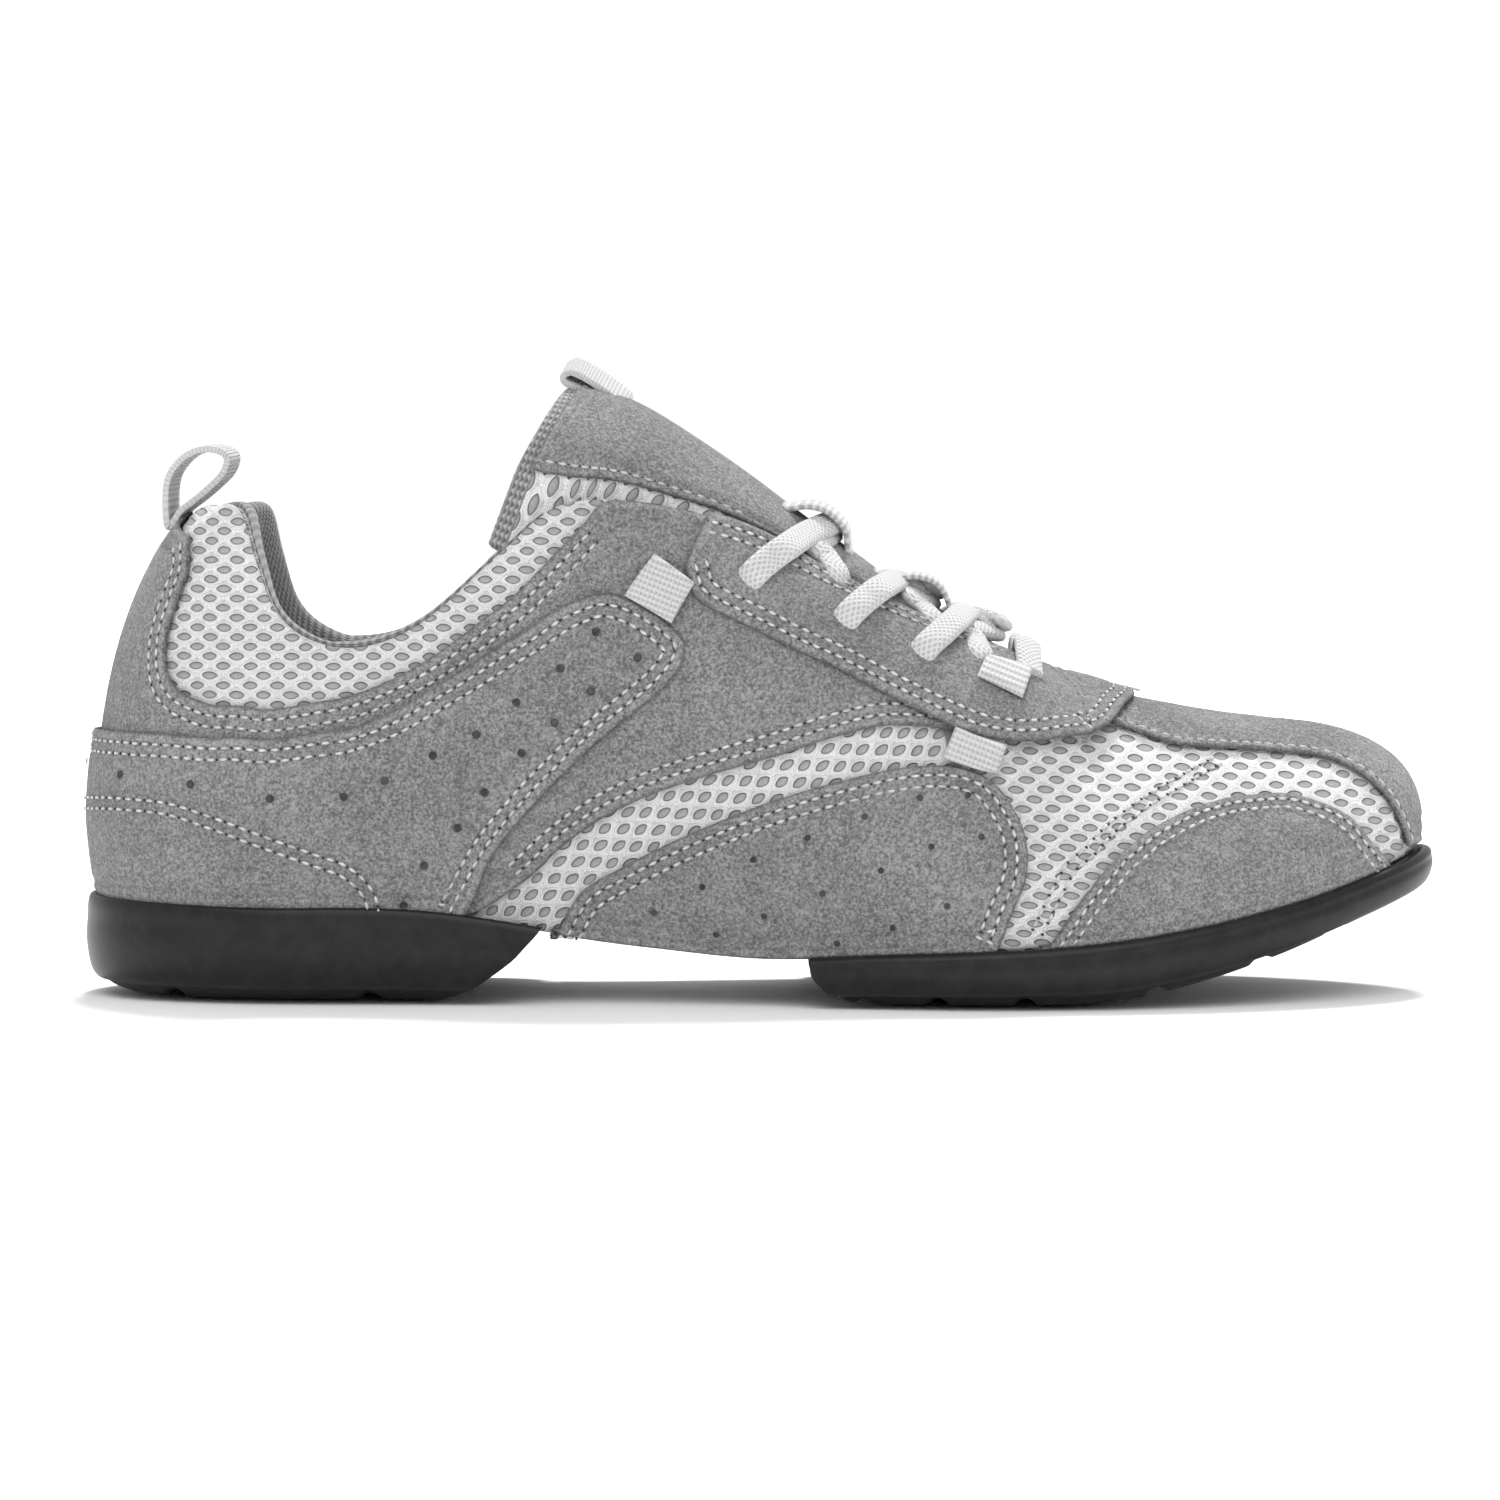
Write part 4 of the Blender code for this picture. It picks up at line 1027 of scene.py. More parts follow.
GUARD_TOP = (
    (191.4, SOLE), (194.6, 11.6), (198.9, 18.0), (204.9, 25.4), (209.0, 29.4), (213.4, 32.9),
    (220.8, 36.7), (225.4, 38.2), (230.6, 39.3), (239.6, 39.8), (246.9, 38.0), (252.9, 34.9),
    (257.3, 29.8), (259.8, SOLE),
)
GUARD_FOOT = tuple((x, SOLE) for x in np.linspace(190, 259.8, len(GUARD_TOP)))
STRIP_EDGE = (
    (204.8, 54.1), (211.0, 52.0), (218.2, 49.8), (226.0, 49.2), (233.4, 48.8), (241.0, 48.2),
    (247.5, 47.2), (253.3, 44.8), (258.6, 40.8), (262.6, 34.9), (264.6, 28.6),
)
STRIP_MIDDLE = np.array((
    (128.0, 1.0), (134.0, 1.0), (141.0, 1.0), (149.0, 1.0), (160.0, 1.0), (180.0, 1.0),
    (180.0, 0.82), (180.0, 0.64), (180.0, 0.46), (180.0, 0.26), (180.0, 0.02),
))


STAY_EDGE = np.concatenate([STAY_FRONT, on_last(STAY_EDGE, layer_face(2))])
PATCH_TOP, GUARD_TOP, STRIP_EDGE = (
    on_last(line, layer_face(1)) for line in (PATCH_TOP, GUARD_TOP, STRIP_EDGE)
)
for side, word in ((-1, "outer"), (1, "inner")):
    patch = between(PATCH_TOP, PATCH_FOOT, side)
    panel(f"side_patch_suede_{word}", patch, 1, [f"side_patch_{word}"], 130, 28)
    guard = between(GUARD_TOP, GUARD_FOOT, side)
    panel(f"toe_guard_suede_{word}", guard, 1, [f"toe_guard_{word}"], 110, 24)
panel("eyestay_suede", over_ridge(THROAT_EDGE, STAY_EDGE), 2, ["eyestay"], 220, 26)
panel("toe_strip_suede", along_ridge(STRIP_MIDDLE, STRIP_EDGE), 1, ["toe_strip"], 90, 34)

# %% [markdown]
# Short pieces of webbing are sewn over the suede: one holds the wing's corner to the eyestay,
# one joins the eyestay to the mesh stripe and one makes the last eyelet. They are narrow panels
# with the webbing's ribs.

# %% Webbing ties
TIES = {
    "quarter": (3, ((113.4, 87.4), (121.4, 81.6)), ((107.2, 79.0), (116.6, 73.4))),
    "vamp": (2, ((173.6, 53.2), (184.0, 49.4)), ((171.0, 46.6), (181.8, 43.6))),
    "eyelet": (3, ((180.0, 67.8), (189.4, 65.2)), ((178.0, 63.4), (187.2, 59.0))),
}


def make_ties():
    for tie, (layer, upper_line, lower_line) in TIES.items():
        lines = [on_last(line, layer_face(layer)) for line in (upper_line, lower_line)]
        for side, word in ((-1, "outer"), (1, "inner")):
            piece = panel(
                f"tie_{tie}_tape_{word}", between(*lines, side), layer,
                [f"tie_{tie}_{word}"], 22, 18, seams=(), crown=0.0, material=WEBBING_PAINT,
                edge=0.06,
            )
            cloth = piece.data.attributes["cloth"]
            for vert, value in zip(piece.data.vertices, cloth.data):
                x, y, z = vert.co
                value.vector = (x * 0.93 - z * 0.37, z * 0.93 + x * 0.37, 0)


make_ties()

# %% [markdown]
# ## Stitching
# A lockstitch shows as a short raised thread between two needle holes. The rows keep an even
# distance from a panel's edge, so each row starts from the same drawn line as the panel. The
# line is moved sideways over the curved last, walked in even steps, and a small rounded body is
# set down at each step, with a dark body between two of them as painted shade in the needle hole.

# %% Rows of stitches
STITCH_STEP = 0.0024
STITCH_LENGTH = 0.00180
STITCH_WIDTH = 0.00070
STITCH_HEIGHT = 0.00058
PRICK = (0.00060, 0.00076, 0.00030)
STITCH_LIFT, PRICK_LIFT = 0.00008, 0.00002
stitches = bmesh.new()
holes = bmesh.new()


def append_to(whole, part):
    """Adds a small bmesh to a large one. Operators are slow on a large bmesh, so each row of
    stitches is made by itself first."""
    carrier = bpy.data.meshes.new("carrier")
    part.to_mesh(carrier)
    part.free()
    whole.from_mesh(carrier)
    bpy.data.meshes.remove(carrier)


def moved_aside(line, inset):
    """A drawn line of (turn, rise) places, moved `inset` metres to its left over the last."""
    turn, rise = line.T
    rise = np.clip(rise, 0.01, 0.99)
    here = wall(-turn, rise)
    by_turn = (wall(-turn - TURN_STEP, rise) - here) / TURN_STEP
    by_rise = (wall(-turn, rise - RISE_STEP) - here) / -RISE_STEP
    aside = inset * np.cross(facing(-turn, rise), unit(np.gradient(here, axis=0)))
    pairs = ((by_turn, by_turn), (by_turn, by_rise), (by_rise, by_rise))
    a, b, c = ((p * q).sum(1) for p, q in pairs)
    p, q = (by_turn * aside).sum(1), (by_rise * aside).sum(1)
    det = a * c - b * b
    return np.stack([line[:, 0] + (c * p - b * q) / det, line[:, 1] + (a * q - b * p) / det], 1)


def set_body(bm, middle, along, out, sizes):
    """A small rounded body: its length, width and height are the sizes."""
    across = np.cross(out, along)
    turn = Matrix(np.stack([along * sizes[0], across * sizes[1], out * sizes[2]], 1).tolist())
    place = Matrix.Translation(Vector(middle)) @ turn.to_4x4()
    bmesh.ops.create_icosphere(bm, subdivisions=1, radius=0.5, matrix=place)


def sew(points, outs, threads, pricks):
    """One row: a stitch at every second point and a needle hole between two of them."""
    for i in range(1, len(points) - 1, 2):
        along = unit(points[i + 1] - points[i - 1])
        sizes = (STITCH_LENGTH, STITCH_WIDTH, STITCH_HEIGHT)
        set_body(threads, points[i] + outs[i] * STITCH_LIFT, along, outs[i], sizes)
        set_body(pricks, points[i + 1] + outs[i] * PRICK_LIFT, along, outs[i], PRICK)


def stitch_row(line, inset, layer, sides=(-1, 1), step=STITCH_STEP, depth=SEAM_DEPTH):
    """Stitches and needle holes along a drawn line, on the given sides of the shoe."""
    moved = moved_aside(smooth_marks(line, 260), inset)
    moved[:, 1] = np.clip(moved[:, 1], 0, 1)
    walked = walked_along(wall(-moved[:, 0], moved[:, 1]))
    count = max(int(walked[-1] / step), 2)
    even = np.linspace(0, walked[-1], 2 * count + 1)
    turn, rise = (np.interp(even, walked, moved[:, k]) for k in (0, 1))
    height = layer_face(layer) - depth + 0.0001
    row, pricks = bmesh.new(), bmesh.new()
    for side in sides:
        sew(surface(side * turn, rise, height), facing(side * turn, rise), row, pricks)
    append_to(stitches, row)
    append_to(holes, pricks)


def double_row(line, layer, sign=1, rows=SEAM_ROWS, **options):
    for inset in rows:
        stitch_row(line, sign * inset, layer, **options)


double_row(QUARTER_INNER[:16], 1, -1)
double_row(QUARTER_OUTER[10:], 1)
double_row(np.concatenate([WING_TOP, WING_FRONT[:4:-1]]), 2, -1)
double_row(STAY_EDGE, 2, -1)
double_row(THROAT_EDGE[3:], 2, rows=(0.0021, 0.0040))
double_row(PATCH_TOP, 1, -1)
double_row(GUARD_TOP, 1, -1, rows=(0.0017, 0.0036))
double_row(STRIP_EDGE, 1, rows=(0.0016,))
COUNTER_SEAM = (
    (BACK, 38.4), (8.4, 38.4), (20.4, 36.8), (32.4, 32.4), (42.4, 28.8), (50.4, 26.0),
    (54.8, 23.2), (57.6, 19.6), (58.6, 15.0),
)
double_row(COUNTER_SEAM, 2, -1, rows=(0.0, 0.0021), depth=-CROWN)
VAMP_SEAM = (
    (225.4, 46.6), (220.2, 43.8), (212.6, 39.4), (207.4, 35.8), (202.4, 31.6), (199.8, 28.6),
    (196.0, 25.4), (193.4, 21.0), (191.4, 17.0), (189.0, 12.0),
)
double_row(VAMP_SEAM, 0, 1, rows=(0.0, 0.0021), depth=0.0)
print(len(stitches.faces) // 20, "stitches")

# %% [markdown]
# The wing and the side patch are also punched with round holes for air. Each is a dark,
# flattened body that lies in the suede's face, painted shade for the inside of the hole.

# %% Punched holes
WING_HOLES = (
    (1.6, 44.2), (9.4, 43.0), (22.2, 41.2), (37.2, 38.4), (50.6, 38.8), (59.6, 41.8),
    (69.4, 46.8), (78.0, 51.0), (86.0, 57.4), (94.8, 64.2), (101.8, 71.4), (110.2, 66.2),
    (100.8, 59.6), (93.6, 53.4), (87.0, 47.4), (79.6, 39.6), (74.2, 32.6), (67.6, 25.4),
    (63.4, 17.8),
)
PATCH_HOLES = (
    (166.4, 38.0), (175.8, 38.4), (155.4, 34.4), (178.6, 30.2), (144.2, 30.4), (168.8, 28.4),
    (133.4, 26.2), (158.8, 23.8), (123.2, 20.8), (147.2, 19.4), (172.0, 16.8), (113.4, 15.8),
    (135.6, 15.0), (161.2, 12.6), (126.0, 11.4), (150.2, 9.6),
)


def punch(marks, layer, width):
    round_holes = bmesh.new()
    for turn, rise in on_last(marks):
        for side in (-1, 1):
            out = facing(side * turn, rise)
            along = unit(np.cross(out, (0, 0, 1)))
            middle = surface(side * turn, rise, layer_face(layer) + CROWN)
            set_body(round_holes, middle, along, out, (width, width, PRICK[2]))
    append_to(holes, round_holes)


punch(WING_HOLES, 2, 0.0019)
punch(PATCH_HOLES, 1, 0.0014)
finished("stitching", stitches, THREAD_PAINT, sharp=180)
finished("needle_holes", holes, HOLE_PAINT)

# %% [markdown]
# ## Collar, lining and insole
# The collar is a soft foam roll in dark knit, and it shows as a thin dark line above the outer
# edge. Its section is a closed curve that is carried round the collar, which a grid does when
# its first and last rows are merged into one.

# %% Collar roll
PAD_CLEARANCE = 0.0016
PAD_SWELL = 1.35
# place round the section, rise, depth as a share of the pad, height over the rim in millimetres
PAD_SECTION = np.array((
    (0, 0.58, 0.06, 0.0), (1, 0.78, 0.02, 0.0), (2, 0.95, 0.00, 0.0), (3, 1.00, 0.05, 0.9),
    (4, 1.00, 0.38, 1.5), (5, 0.99, 0.72, 1.1), (6, 0.93, 0.98, 0.2), (7, 0.84, 1.05, 0.0),
    (8, 0.74, 0.85, 0.0), (9, 0.63, 0.34, 0.0), (10, 0.58, 0.06, 0.0),
))


def make_collar_roll():
    def lay(s, v):
        turn = PAD_END * (2 * s - 1)
        rise, deep, proud = (read(PAD_SECTION, column, 10 * v) for column in (1, 2, 3))
        fade = 0.30 + 0.70 * np.sqrt(np.clip(1 - (turn / PAD_END) ** 6, 0, 1))
        depth = PAD_CLEARANCE + PAD_SWELL * deep * COLLAR_PAD * fade
        points = surface(turn, np.clip(rise, 0, 1), -depth)
        points[:, 2] += 0.001 * proud * fade
        walked = np.radians(turn) * 0.06
        return points, np.stack([walked, v * 0.05, 0 * s], -1)

    bm = laid_grid(np.linspace(0, 1, 141), np.linspace(0, 1, 41), lay)
    seam = [vert for vert in bm.verts if vert.is_boundary]
    bmesh.ops.remove_doubles(bm, verts=seam, dist=0.00005)
    bmesh.ops.holes_fill(bm, edges=[edge for edge in bm.edges if edge.is_boundary], sides=0)
    bmesh.ops.recalc_face_normals(bm, faces=bm.faces)
    roll = finished("collar_roll", bm, KNIT_PAINT, ["collar_pad"])


def make_sock():
    """The insole: a soft flat sock, a little crowned."""

    def lay(s, v):
        turn, inset = 180 * s, UPPER_WALL + 5 * GAP
        outer, inner = bottom_edge(-turn, -inset), bottom_edge(turn, -inset)
        points = outer + (inner - outer) * v[:, None]
        crown = 0.0006 * np.sqrt(np.clip(1 - (2 * v - 1) ** 2, 0, 1))
        points[:, 2] = under_height(points[:, 0]) + UPPER_WALL + GAP + INSOLE + crown
        return points, np.stack([points[:, 0], points[:, 1], 0 * s], -1)

    bm = laid_grid(np.linspace(0.006, 0.994, 81), np.linspace(0, 1, 21), lay)
    if sum(face.normal.z for face in bm.faces) < 0:
        bmesh.ops.reverse_faces(bm, faces=bm.faces)
    sock = finished("insole_sock", bm, KNIT_PAINT, ["insole"])
    give_wall(sock, INSOLE)


make_collar_roll()
make_sock()

# %% [markdown]
# ## Tongue
# The tongue is padded, arches over the instep and stands up at its tip. Its middle is covered
# in suede with a sewn hem, its sides are mesh and its back is the dark lining.

# %% Tongue
# place along as a share of LENGTH, height of TONGUE_HEIGHT, radius of the arch, wrap in degrees
TONGUE = np.array((
    (0.364, 1.030, 0.0235, 122), (0.407, 0.992, 0.0232, 112), (0.452, 0.929, 0.0225, 96),
    (0.489, 0.870, 0.0220, 80), (0.519, 0.818, 0.0215, 70), (0.563, 0.743, 0.0210, 62),
    (0.600, 0.684, 0.0205, 56), (0.637, 0.630, 0.0200, 50), (0.674, 0.574, 0.0190, 46),
    (0.704, 0.506, 0.0175, 43), (0.730, 0.469, 0.0160, 40),
))
TONGUE_TIP, TONGUE_BASE = 0.366, 0.728
TONGUE_BEND = math.radians(78)
SUEDE_SHARE = 0.64
TONGUE_HALF = 0.032


def tongue_face(along, aside, offset=0.0):
    """Points of the tongue: `along` is a share of LENGTH, `aside` runs from -1 to 1. It arches
    over the foot, and beyond the bend its sides hang straight."""
    given = (np.asarray(a, float) for a in (along, aside, offset))
    along, aside, offset = np.broadcast_arrays(*given)
    near = np.clip(along, 0.368, 0.726)
    step = (read(TONGUE, 1, near + 0.004) - read(TONGUE, 1, near - 0.004)) * TONGUE_HEIGHT
    slope = step / (0.008 * LENGTH)
    size = np.hypot(1, slope)
    out = np.stack([-slope / size, 0 * size, 1 / size], -1)
    radius = read(TONGUE, 2, along)
    angle = aside * np.radians(read(TONGUE, 3, along))
    bend = np.clip(angle, -TONGUE_BEND, TONGUE_BEND)
    beyond = angle - bend
    x = LENGTH * along
    crest = TONGUE_HEIGHT * read(TONGUE, 1, along) + slope * LENGTH * np.minimum(along - 0.364, 0)
    middle = np.stack([x, swing(x), crest], -1)
    reach = radius + offset
    side = np.stack([0 * x, reach * (np.sin(bend) + beyond * np.cos(bend)), 0 * x], -1)
    height = reach * (np.cos(bend) - beyond * np.sin(bend)) - radius
    return middle + out * height[..., None] + side


def tongue_cloth(along, aside, from_edge=0.0):
    return np.stack([aside * TONGUE_HALF, along * LENGTH, from_edge + 0 * along], -1)


def tip_at(aside):
    """Where the tongue's end lies: its sides reach further back than its middle."""
    return TONGUE_TIP - 0.021 * np.minimum(np.abs(aside), SUEDE_SHARE) ** 1.2


def make_tongue():
    def lay(s, v):
        aside = 2 * v - 1
        start = tip_at(aside) - 0.009
        along = start + (TONGUE_BASE - start) * s
        puff = 0.0007 * np.cos(aside * math.pi / 2) - 0.0006 - 0.0012 * np.exp(-s * 40)
        return tongue_face(along, aside, puff), tongue_cloth(along, aside)

    v_knots = (1 - np.cos(np.pi * (0.06 + 0.88 * np.linspace(0, 1, 33)))) / 2
    v_knots = (v_knots - v_knots[0]) / (v_knots[-1] - v_knots[0])
    bm = laid_grid(knots_for(60, 0.02, 2), v_knots, lay)
    face_outward(bm)
    cloth_layer = bm.verts.layers.float_vector["cloth"]
    for face in bm.faces:
        across, along, _ = face.verts[0][cloth_layer]
        if along < LENGTH * (tip_at(across / TONGUE_HALF) + 0.003):
            face.material_index = 1
    body = finished("tongue_pad", bm, [MESH_PAINT, KNIT_PAINT], ["tongue"])
    give_wall(body, TONGUE_WALL - 0.0006, inner_slot=1, rim_slot=1)
    round_off = body.modifiers.new("soft", "SUBSURF")
    round_off.levels = round_off.render_levels = 1


HEM = 0.0021
SUEDE_SPAN = 0.058


def sew_hem():
    """One row of stitches along both long edges of the tongue's suede."""
    threads, pricks = bmesh.new(), bmesh.new()
    for side in (-1, 1):
        aside = side * SUEDE_SHARE * (1 - 2 * HEM / SUEDE_SPAN)
        along = np.linspace(tip_at(aside) + 0.007, 0.50, 2 * 17 + 1)
        points = tongue_face(along, aside, 0.0006)
        outs = unit(tongue_face(along, aside, 0.0016) - points)
        sew(points, outs, threads, pricks)
    finished("tongue_stitching", threads, THREAD_PAINT, sharp=180)
    finished("tongue_needle_holes", pricks, HOLE_PAINT, sharp=180)


def make_tongue_suede():
    def lay(s, v):
        aside = SUEDE_SHARE * (2 * v - 1)
        along = tip_at(aside) + 0.0015 + (TONGUE_BASE - tip_at(aside) - 0.002) * s
        border = np.minimum(np.minimum(v, 1 - v) * SUEDE_SPAN, s * 0.12)
        height = 0.0011 - 0.0009 * (1 - rolled(border)) - valley(border, HEM)
        # border goes into the third cloth place, which gives the hem the suede's painted edge shade
        # and highlight
        return tongue_face(along, aside, height), tongue_cloth(along, aside, border)

    bm = laid_grid(knots_for(90, 0.03, 5), eased(32), lay)
    face_outward(bm)
    cover = finished("tongue_suede", bm, SUEDE_PAINT)
    give_wall(cover, 0.0010)


make_tongue()
make_tongue_suede()
sew_hem()

# %% [markdown]
# ## Webbing loops and the lace keeper
# Each pull loop is one piece of tape that goes round and back to its seam. A grid is laid along
# a closed path, its ends are merged, and Solidify gives the tape its thickness. The keeper is a
# narrow tape down the middle of the tongue. It humps over the laces where they cross.

# %% Tapes
HEEL_LOOP = np.array((
    (0.0640, 0.952), (0.0622, 1.008), (0.0640, 1.050), (0.0705, 1.080), (0.0790, 1.100),
    (0.0900, 1.110), (0.1010, 1.107), (0.1075, 1.092), (0.1045, 1.062), (0.0950, 1.034),
    (0.0840, 1.008), (0.0730, 0.984),
))
TONGUE_LOOP = np.array((
    (0.4000, 1.204), (0.3900, 1.229), (0.3785, 1.251), (0.3683, 1.268), (0.3603, 1.276),
    (0.3550, 1.268), (0.3572, 1.254), (0.3664, 1.242), (0.3773, 1.224), (0.3893, 1.200),
))


def make_loop(name, path, replaces, lean):
    """A closed loop of tape through a path drawn from the side. It leans, so that its far edge
    lies further along and higher, by `lean` for each step across."""
    ring = np.concatenate([path[-2:], path, path[:3]]) * (LENGTH, COLLAR_HEIGHT)
    knots = np.arange(-2, len(path) + 3)
    middle = float(swing(path[0, 0] * LENGTH))

    def lay(s, v):
        drawn = through(knots, ring, s * len(path))
        across = WEBBING_WIDTH * (v - 0.5)
        points = np.stack(
            [drawn[:, 0] + lean[0] * across, middle + across, drawn[:, 1] + lean[1] * across], -1
        )
        return points, np.stack([across, s * 0.055, 0 * s], -1)

    bm = laid_grid(np.linspace(0, 1, 97), np.linspace(0, 1, 7), lay)
    bmesh.ops.remove_doubles(bm, verts=[v for v in bm.verts if v.is_boundary], dist=0.00002)
    bmesh.ops.recalc_face_normals(bm, faces=bm.faces)
    loop = finished(name, bm, WEBBING_PAINT, replaces)
    give_wall(loop, WEBBING, side=0)
    edge = loop.modifiers.new("edge", "BEVEL")
    edge.width, edge.segments = 0.0003, 2


KEEPER_START, KEEPER_SPAN, KEEPER_HALF, KEEPER_ASIDE = 0.512, 0.180, 0.0036, -0.10
# the tongue's arch there: its radius and its wrap
KEEPER_ARCH = 0.0205 * math.radians(58)
# place along, height over the tongue in millimetres
KEEPER_LINE = np.array((
    (0.512, 0.9), (0.517, 1.6), (0.524, 4.0), (0.532, 5.5), (0.545, 5.7), (0.554, 4.6),
    (0.562, 1.6), (0.580, 1.1), (0.592, 1.8), (0.600, 4.4), (0.608, 5.7), (0.622, 5.7),
    (0.632, 3.6), (0.640, 1.4), (0.650, 1.0), (0.692, 1.0),
))


def make_keeper():
    def lay(s, v):
        along = KEEPER_START + KEEPER_SPAN * s
        across = KEEPER_HALF * (2 * v - 1)
        aside = across / KEEPER_ARCH + KEEPER_ASIDE
        lift = read(KEEPER_LINE, 1, along) / 1000
        return tongue_face(along, aside, lift), np.stack([across, along * LENGTH, 0 * s], -1)

    bm = laid_grid(np.linspace(0, 1, 121), np.linspace(0, 1, 7), lay)
    face_outward(bm)
    keeper = finished("lace_keeper", bm, WEBBING_PAINT)
    give_wall(keeper, 0.0009)


make_loop("heel_pull_loop", HEEL_LOOP, ["heel_loop"], (0.12, 0.05))
make_loop("tongue_pull_loop", TONGUE_LOOP, ["tongue_loop"], (0.10, 0.26))
make_keeper()

# %% [markdown]
# ## Laces
# A lace is a flat braided tube. Its section starts as a circle from `create_circle`, pressed to
# an oval, and is extruded along a path that leaves the eyelet, climbs over the eyestay's edge,
# crosses the tongue and dives under the other edge.

# %% Lace sections along a path
HALF = LACE_THICKNESS / 2
# for each row of laces: marks on the eyestay from the eyelet up, then a mark on the tongue, and
# the place along where the lace crosses the middle
OVER_MARKS = (
    (((133.6, 83.8), (136.4, 86.2), (139.6, 88.4)), (144.2, 91.4), 0.546),
    (((152.8, 75.8), (155.6, 78.2), (158.8, 80.4)), (163.6, 83.2), 0.619),
    (((168.2, 69.4), (170.8, 71.6), (173.4, 73.8)), (176.8, 76.4), 0.664),
)
# the other lace of each row: marks on the tongue, then where it meets the eyestay's edge
UNDER_MARKS = (
    ((145.6, 89.0), (147.8, 86.4), (150.0, 83.8)),
    ((164.6, 78.8), (167.0, 76.6), (169.2, 74.8)),
    ((175.6, 72.4), (177.2, 70.2), (178.6, 67.8)),
)
ROW_LIFT = (0.0, 0.0, 0.0014)
# turn, rise and lift where the lowest lace comes up, and its place along on the tongue
BASE_PLACES = ((-117.2, 0.80, 0.0004), (-118.0, 0.90, HALF), (-119.0, 0.985, HALF + 0.001))
BASE_ALONG = 0.684


def swept_lace(bm, path, outs, width=LACE_WIDTH, thick=LACE_THICKNESS, steps=14):
    """Extrudes the lace's oval along a smooth path. `outs` says which way its face looks."""
    layers = bm.verts.layers.float_vector
    cloth_layer = layers.get("cloth") or layers.new("cloth")
    at = np.linspace(0, len(path) - 1, steps * (len(path) - 1) + 1)
    line, up = (through(np.arange(len(path)), np.array(rows), at) for rows in (path, outs))
    alongs = unit(np.gradient(line, axis=0))
    walked = walked_along(line)
    start = bmesh.ops.create_circle(bm, cap_ends=False, segments=14, radius=1)["verts"]
    flat = np.array([vert.co for vert in start])
    oval = np.sign(flat) * np.abs(flat) ** 0.85
    ring = start
    for i, (point, along) in enumerate(zip(line, alongs)):
        if i:
            edges = [e for v in ring for e in v.link_edges if e.other_vert(v) in ring]
            grown = bmesh.ops.extrude_edge_only(bm, edges=list(set(edges)))["geom"]
            new = [g for g in grown if isinstance(g, bmesh.types.BMVert)]
            ring = [
                next(e.other_vert(old) for e in old.link_edges if e.other_vert(old) in new)
                for old in ring
            ]
        out = unit(up[i] - along * np.dot(up[i], along))
        across = np.cross(along, out)
        for vert, (a, b) in zip(ring, oval[:, :2]):
            vert.co = point + across * (a * width / 2) + out * (b * thick / 2)
            vert[cloth_layer] = (a * width / 2, walked[i], b)
    for end in (start, ring):
        bmesh.ops.contextual_create(bm, geom=end)


def stay_point(turn, rise, lift):
    return surface(turn, rise, layer_face(2) + lift)


TONGUE_PLACES = [
    part.ravel() for part in np.meshgrid(np.linspace(0.48, 0.70, 221), np.linspace(-1, 0.1, 56))
]


def on_tongue(mark, lift):
    """(along, aside) on the tongue's outer half that shows at a drawn mark."""
    along, aside = TONGUE_PLACES
    miss = seen(tongue_face(along, aside, lift)) - np.array(mark) / 1000
    best = np.argmin((miss**2).sum(1))
    return along[best], aside[best]


def over_tongue(along, aside, lift):
    """A point over the tongue and the direction away from it."""
    point = tongue_face(along, aside, lift)
    return point, unit(tongue_face(along, aside, lift + 0.001) - point)


def rising_half(row):
    """From the eyelet over the eyestay's edge towards the middle of the tongue."""
    on_stay, last_mark, _ = OVER_MARKS[row]
    places = on_last(on_stay, layer_face(2) + HALF)
    first = places[0] - 0.6 * (places[1] - places[0])
    steps = zip([first, *places], (-0.0016, HALF * 0.7, HALF, HALF + 0.0004))
    half = [(stay_point(-turn, rise, lift), facing(-turn, rise)) for (turn, rise), lift in steps]
    lift = HALF + 0.0010 + ROW_LIFT[row]
    return half + [over_tongue(*on_tongue(last_mark, lift), lift)]


def sinking_half(row):
    """From the eyestay's edge, which it comes out from under, towards the middle."""
    first, second, edge = UNDER_MARKS[row]
    lift = HALF + 0.0002 + ROW_LIFT[row]
    turn, rise = on_last([edge], layer_face(2))[0]
    below = (surface(-turn - 0.8, rise - 0.05, 0.0006), facing(-turn, rise))
    at_edge = (surface(-turn, rise, layer_face(2) - 0.0004), facing(-turn, rise))
    marks = (on_tongue(second, lift), on_tongue(first, lift))
    return [below, at_edge] + [over_tongue(*place, lift) for place in marks]


def mirrored(half):
    flip = np.array((1, -1, 1))
    return [(p * flip + (0, 2 * float(swing(p[0])), 0), out * flip) for p, out in half]


def lace_path(row, over):
    """The whole way of a lace. The one on top starts on the outer side."""
    rise, sink = rising_half(row), sinking_half(row)
    lift = HALF + 0.0003 + ROW_LIFT[row] + (0.88 * LACE_THICKNESS if over else 0)
    middle = over_tongue(OVER_MARKS[row][2], 0.0, lift)
    first, last = (rise, mirrored(sink)) if over else (mirrored(rise), sink)
    whole = first + [middle] + last[::-1]
    return [point for point, _ in whole], [out for _, out in whole]


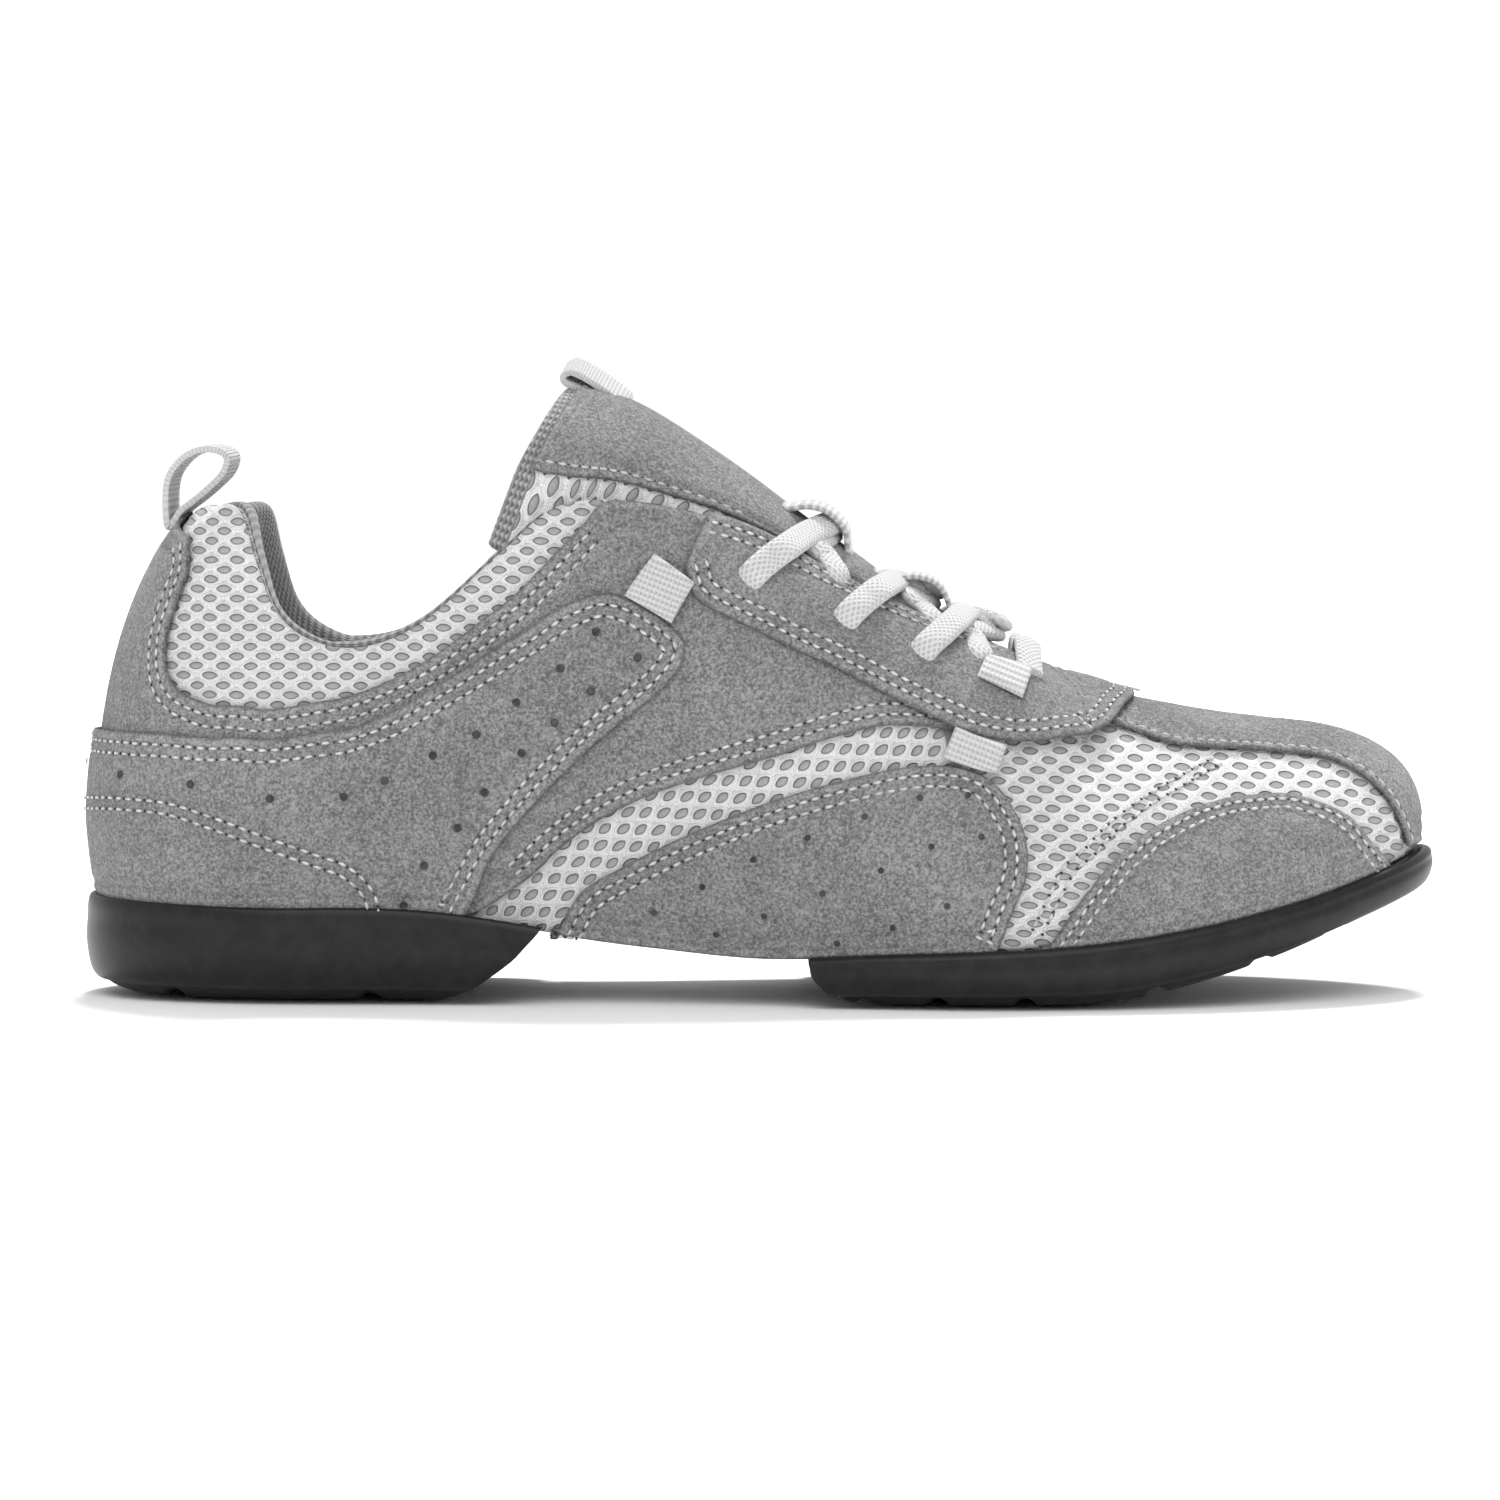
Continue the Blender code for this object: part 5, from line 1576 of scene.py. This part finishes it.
def make_laces():
    for row in range(3):
        bm = bmesh.new()
        for over in (True, False):
            swept_lace(bm, *lace_path(row, over))
        bmesh.ops.recalc_face_normals(bm, faces=bm.faces)
        finished(f"lace_{row + 1}", bm, LACE_PAINT, [f"lace_crossing_{row + 1}"], sharp=60)
    bm = bmesh.new()
    half = [(stay_point(*place), facing(*place[:2])) for place in BASE_PLACES]
    middle = tongue_face(BASE_ALONG, 0.0, HALF + 0.0018), np.array((0.4, 0, 0.9))
    swept_lace(bm, *zip(*half, middle, *mirrored(half)[::-1]))
    bmesh.ops.recalc_face_normals(bm, faces=bm.faces)
    finished("lace_base", bm, LACE_PAINT, sharp=60)


make_laces()

# %% [markdown]
# ## Soles
# Two separate black rubber units let the foot bend and point. Each is moulded: a bead runs
# under the suede, the wall swells and turns in below, and the tread is cut by grooves. One
# function gives a point of the wall from its place round the unit and its place down the side.
# Four grids, for the wall, its open end, the tread and the top, are merged along their edges
# into one closed body.

# %% Sole units
# share of the unit's height, step out from the upper's edge, how far the open end stops short
HEEL_WALL = np.array((
    (0, 1.08, 0.0026, 0.000), (1, 1.10, 0.0038, 0.000), (2, 1.07, 0.0046, 0.001),
    (3, 0.98, 0.0050, 0.004), (4, 0.84, 0.0051, 0.010), (5, 0.58, 0.0053, 0.022),
    (6, 0.30, 0.0045, 0.041), (7, 0.18, 0.0032, 0.051), (8, 0.16, 0.0018, 0.054),
    (9, 0.08, -0.0004, 0.064), (10, 0.02, -0.0040, 0.075), (11, 0.00, -0.0080, 0.085),
))
FOREFOOT_WALL = np.array((
    (0, 1.03, 0.0012, 0.000), (1, 1.05, 0.0022, -0.001), (2, 1.02, 0.0031, -0.002),
    (3, 0.94, 0.0037, -0.002), (4, 0.83, 0.0038, -0.001), (5, 0.63, 0.0040, 0.001),
    (6, 0.36, 0.0033, 0.009), (7, 0.25, 0.0023, 0.015), (8, 0.22, 0.0009, 0.018),
    (9, 0.12, -0.0006, 0.024), (10, 0.04, -0.0034, 0.031), (11, 0.00, -0.0070, 0.042),
))
TREAD = np.array((
    (80, 0.00), (112, 0.00), (120, 0.02), (130, 0.20), (140, 0.46), (150, 0.73),
    (160, 0.93), (180, 1.18),
))
HEEL_GROOVES = (0.072, 0.215)
FOREFOOT_GROOVES = (0.590, 0.642, 0.705, 0.797, 0.872, 0.925)
GROOVE_DEPTH, GROOVE_WIDTH = 0.0013, 0.0030
# the tread's low waves: from one to the next along the sole, and how often they sway across it
WAVE_PITCH, WAVE_SWAY = 0.0052, 0.016


def groove_lift(points, grooves, lean):
    """How far the tread is cut upwards at each point."""
    at = points[:, 0] - lean * points[:, 1]
    near = np.min(np.abs(at[:, None] - LENGTH * np.array(grooves)[None]), axis=1)
    return GROOVE_DEPTH * np.clip(1.5 - near / (GROOVE_WIDTH / 2), 0, 1)


def fine_tread(points):
    """Low waves between the grooves, so that the tread grips."""
    sway = 1.2 * np.sin(points[:, 1] * 2 * math.pi / WAVE_SWAY)
    wave = np.sin(points[:, 0] * 2 * math.pi / WAVE_PITCH + sway)
    return 0.0007 * np.clip(wave * 1.5, 0, 1)


def heel_wall(u, depth):
    """u runs from -1 to 1 round the unit, depth from 0 at the top to 1 at the tread."""
    share, out, short = (read(HEEL_WALL, column, 11 * depth) for column in (1, 2, 3))
    end = turn_at(HEEL_END - short * LENGTH)
    points = bottom_edge(end * u, out)
    points[:, 2] = share * (points[:, 2] - GAP)
    points[:, 2] += groove_lift(points, HEEL_GROOVES, 0.0) * np.clip((depth - 0.7) / 0.2, 0, 1)
    return points


def forefoot_wall(u, depth):
    share, out, short = (read(FOREFOOT_WALL, column, 11 * depth) for column in (1, 2, 3))
    start = turn_at(FOREFOOT_START + short * LENGTH)
    offset = (180 - start) * u
    points = bottom_edge(180 + offset, out)
    below = HEEL_LIFT * np.maximum(read(TREAD, 1, 180 - np.abs(offset)), 0)
    points[:, 2] = below + share * (points[:, 2] - GAP - below)
    points[:, 2] += groove_lift(points, FOREFOOT_GROOVES, 0.12) * np.clip((depth - 0.7) / 0.2, 0, 1)
    return points


def make_sole(name, wall_point, node, around, across=41):
    depths = np.linspace(0, 1, 45)
    rungs = np.linspace(0, 1, around)

    def no_cloth(points):
        return points, points * 0

    def lay_wall(s, v):
        return no_cloth(wall_point(2 * s - 1, v))

    def bridge(left, right, w, lift=0.0):
        points = left + (right - left) * w[:, None]
        points[:, 2] += lift
        return no_cloth(points)

    def lay_end(s, v):
        return bridge(wall_point(0 * v - 1, v), wall_point(0 * v + 1, v), s)

    def lay_tread(s, v):
        left, right = wall_point(-s, 0 * s + 1), wall_point(s, 0 * s + 1)
        points = left + (right - left) * v[:, None]
        inside = np.clip(np.minimum(np.minimum(v, 1 - v) * 14, (1 - s) * 60), 0, 1)
        return bridge(left, right, v, fine_tread(points) * inside)

    def lay_top(s, v):
        return bridge(wall_point(-s, 0 * s), wall_point(s, 0 * s), v)

    both_rungs = np.concatenate([(1 - rungs[::-1]) / 2, 0.5 + rungs[1:] / 2])
    side_to_side = np.linspace(0, 1, across)
    whole = bmesh.new()
    for part in (
        laid_grid(both_rungs, depths, lay_wall), laid_grid(side_to_side, depths, lay_end),
        laid_grid(rungs, side_to_side, lay_tread), laid_grid(rungs, side_to_side, lay_top),
    ):
        append_to(whole, part)
    bmesh.ops.remove_doubles(whole, verts=whole.verts, dist=0.00001)
    bmesh.ops.recalc_face_normals(whole, faces=whole.faces)
    finished(name, whole, RUBBER_PAINT, [node], sharp=45)


make_sole("heel_sole_moulded", heel_wall, "heel_sole", 161)
make_sole("forefoot_sole_moulded", forefoot_wall, "forefoot_sole", 241)
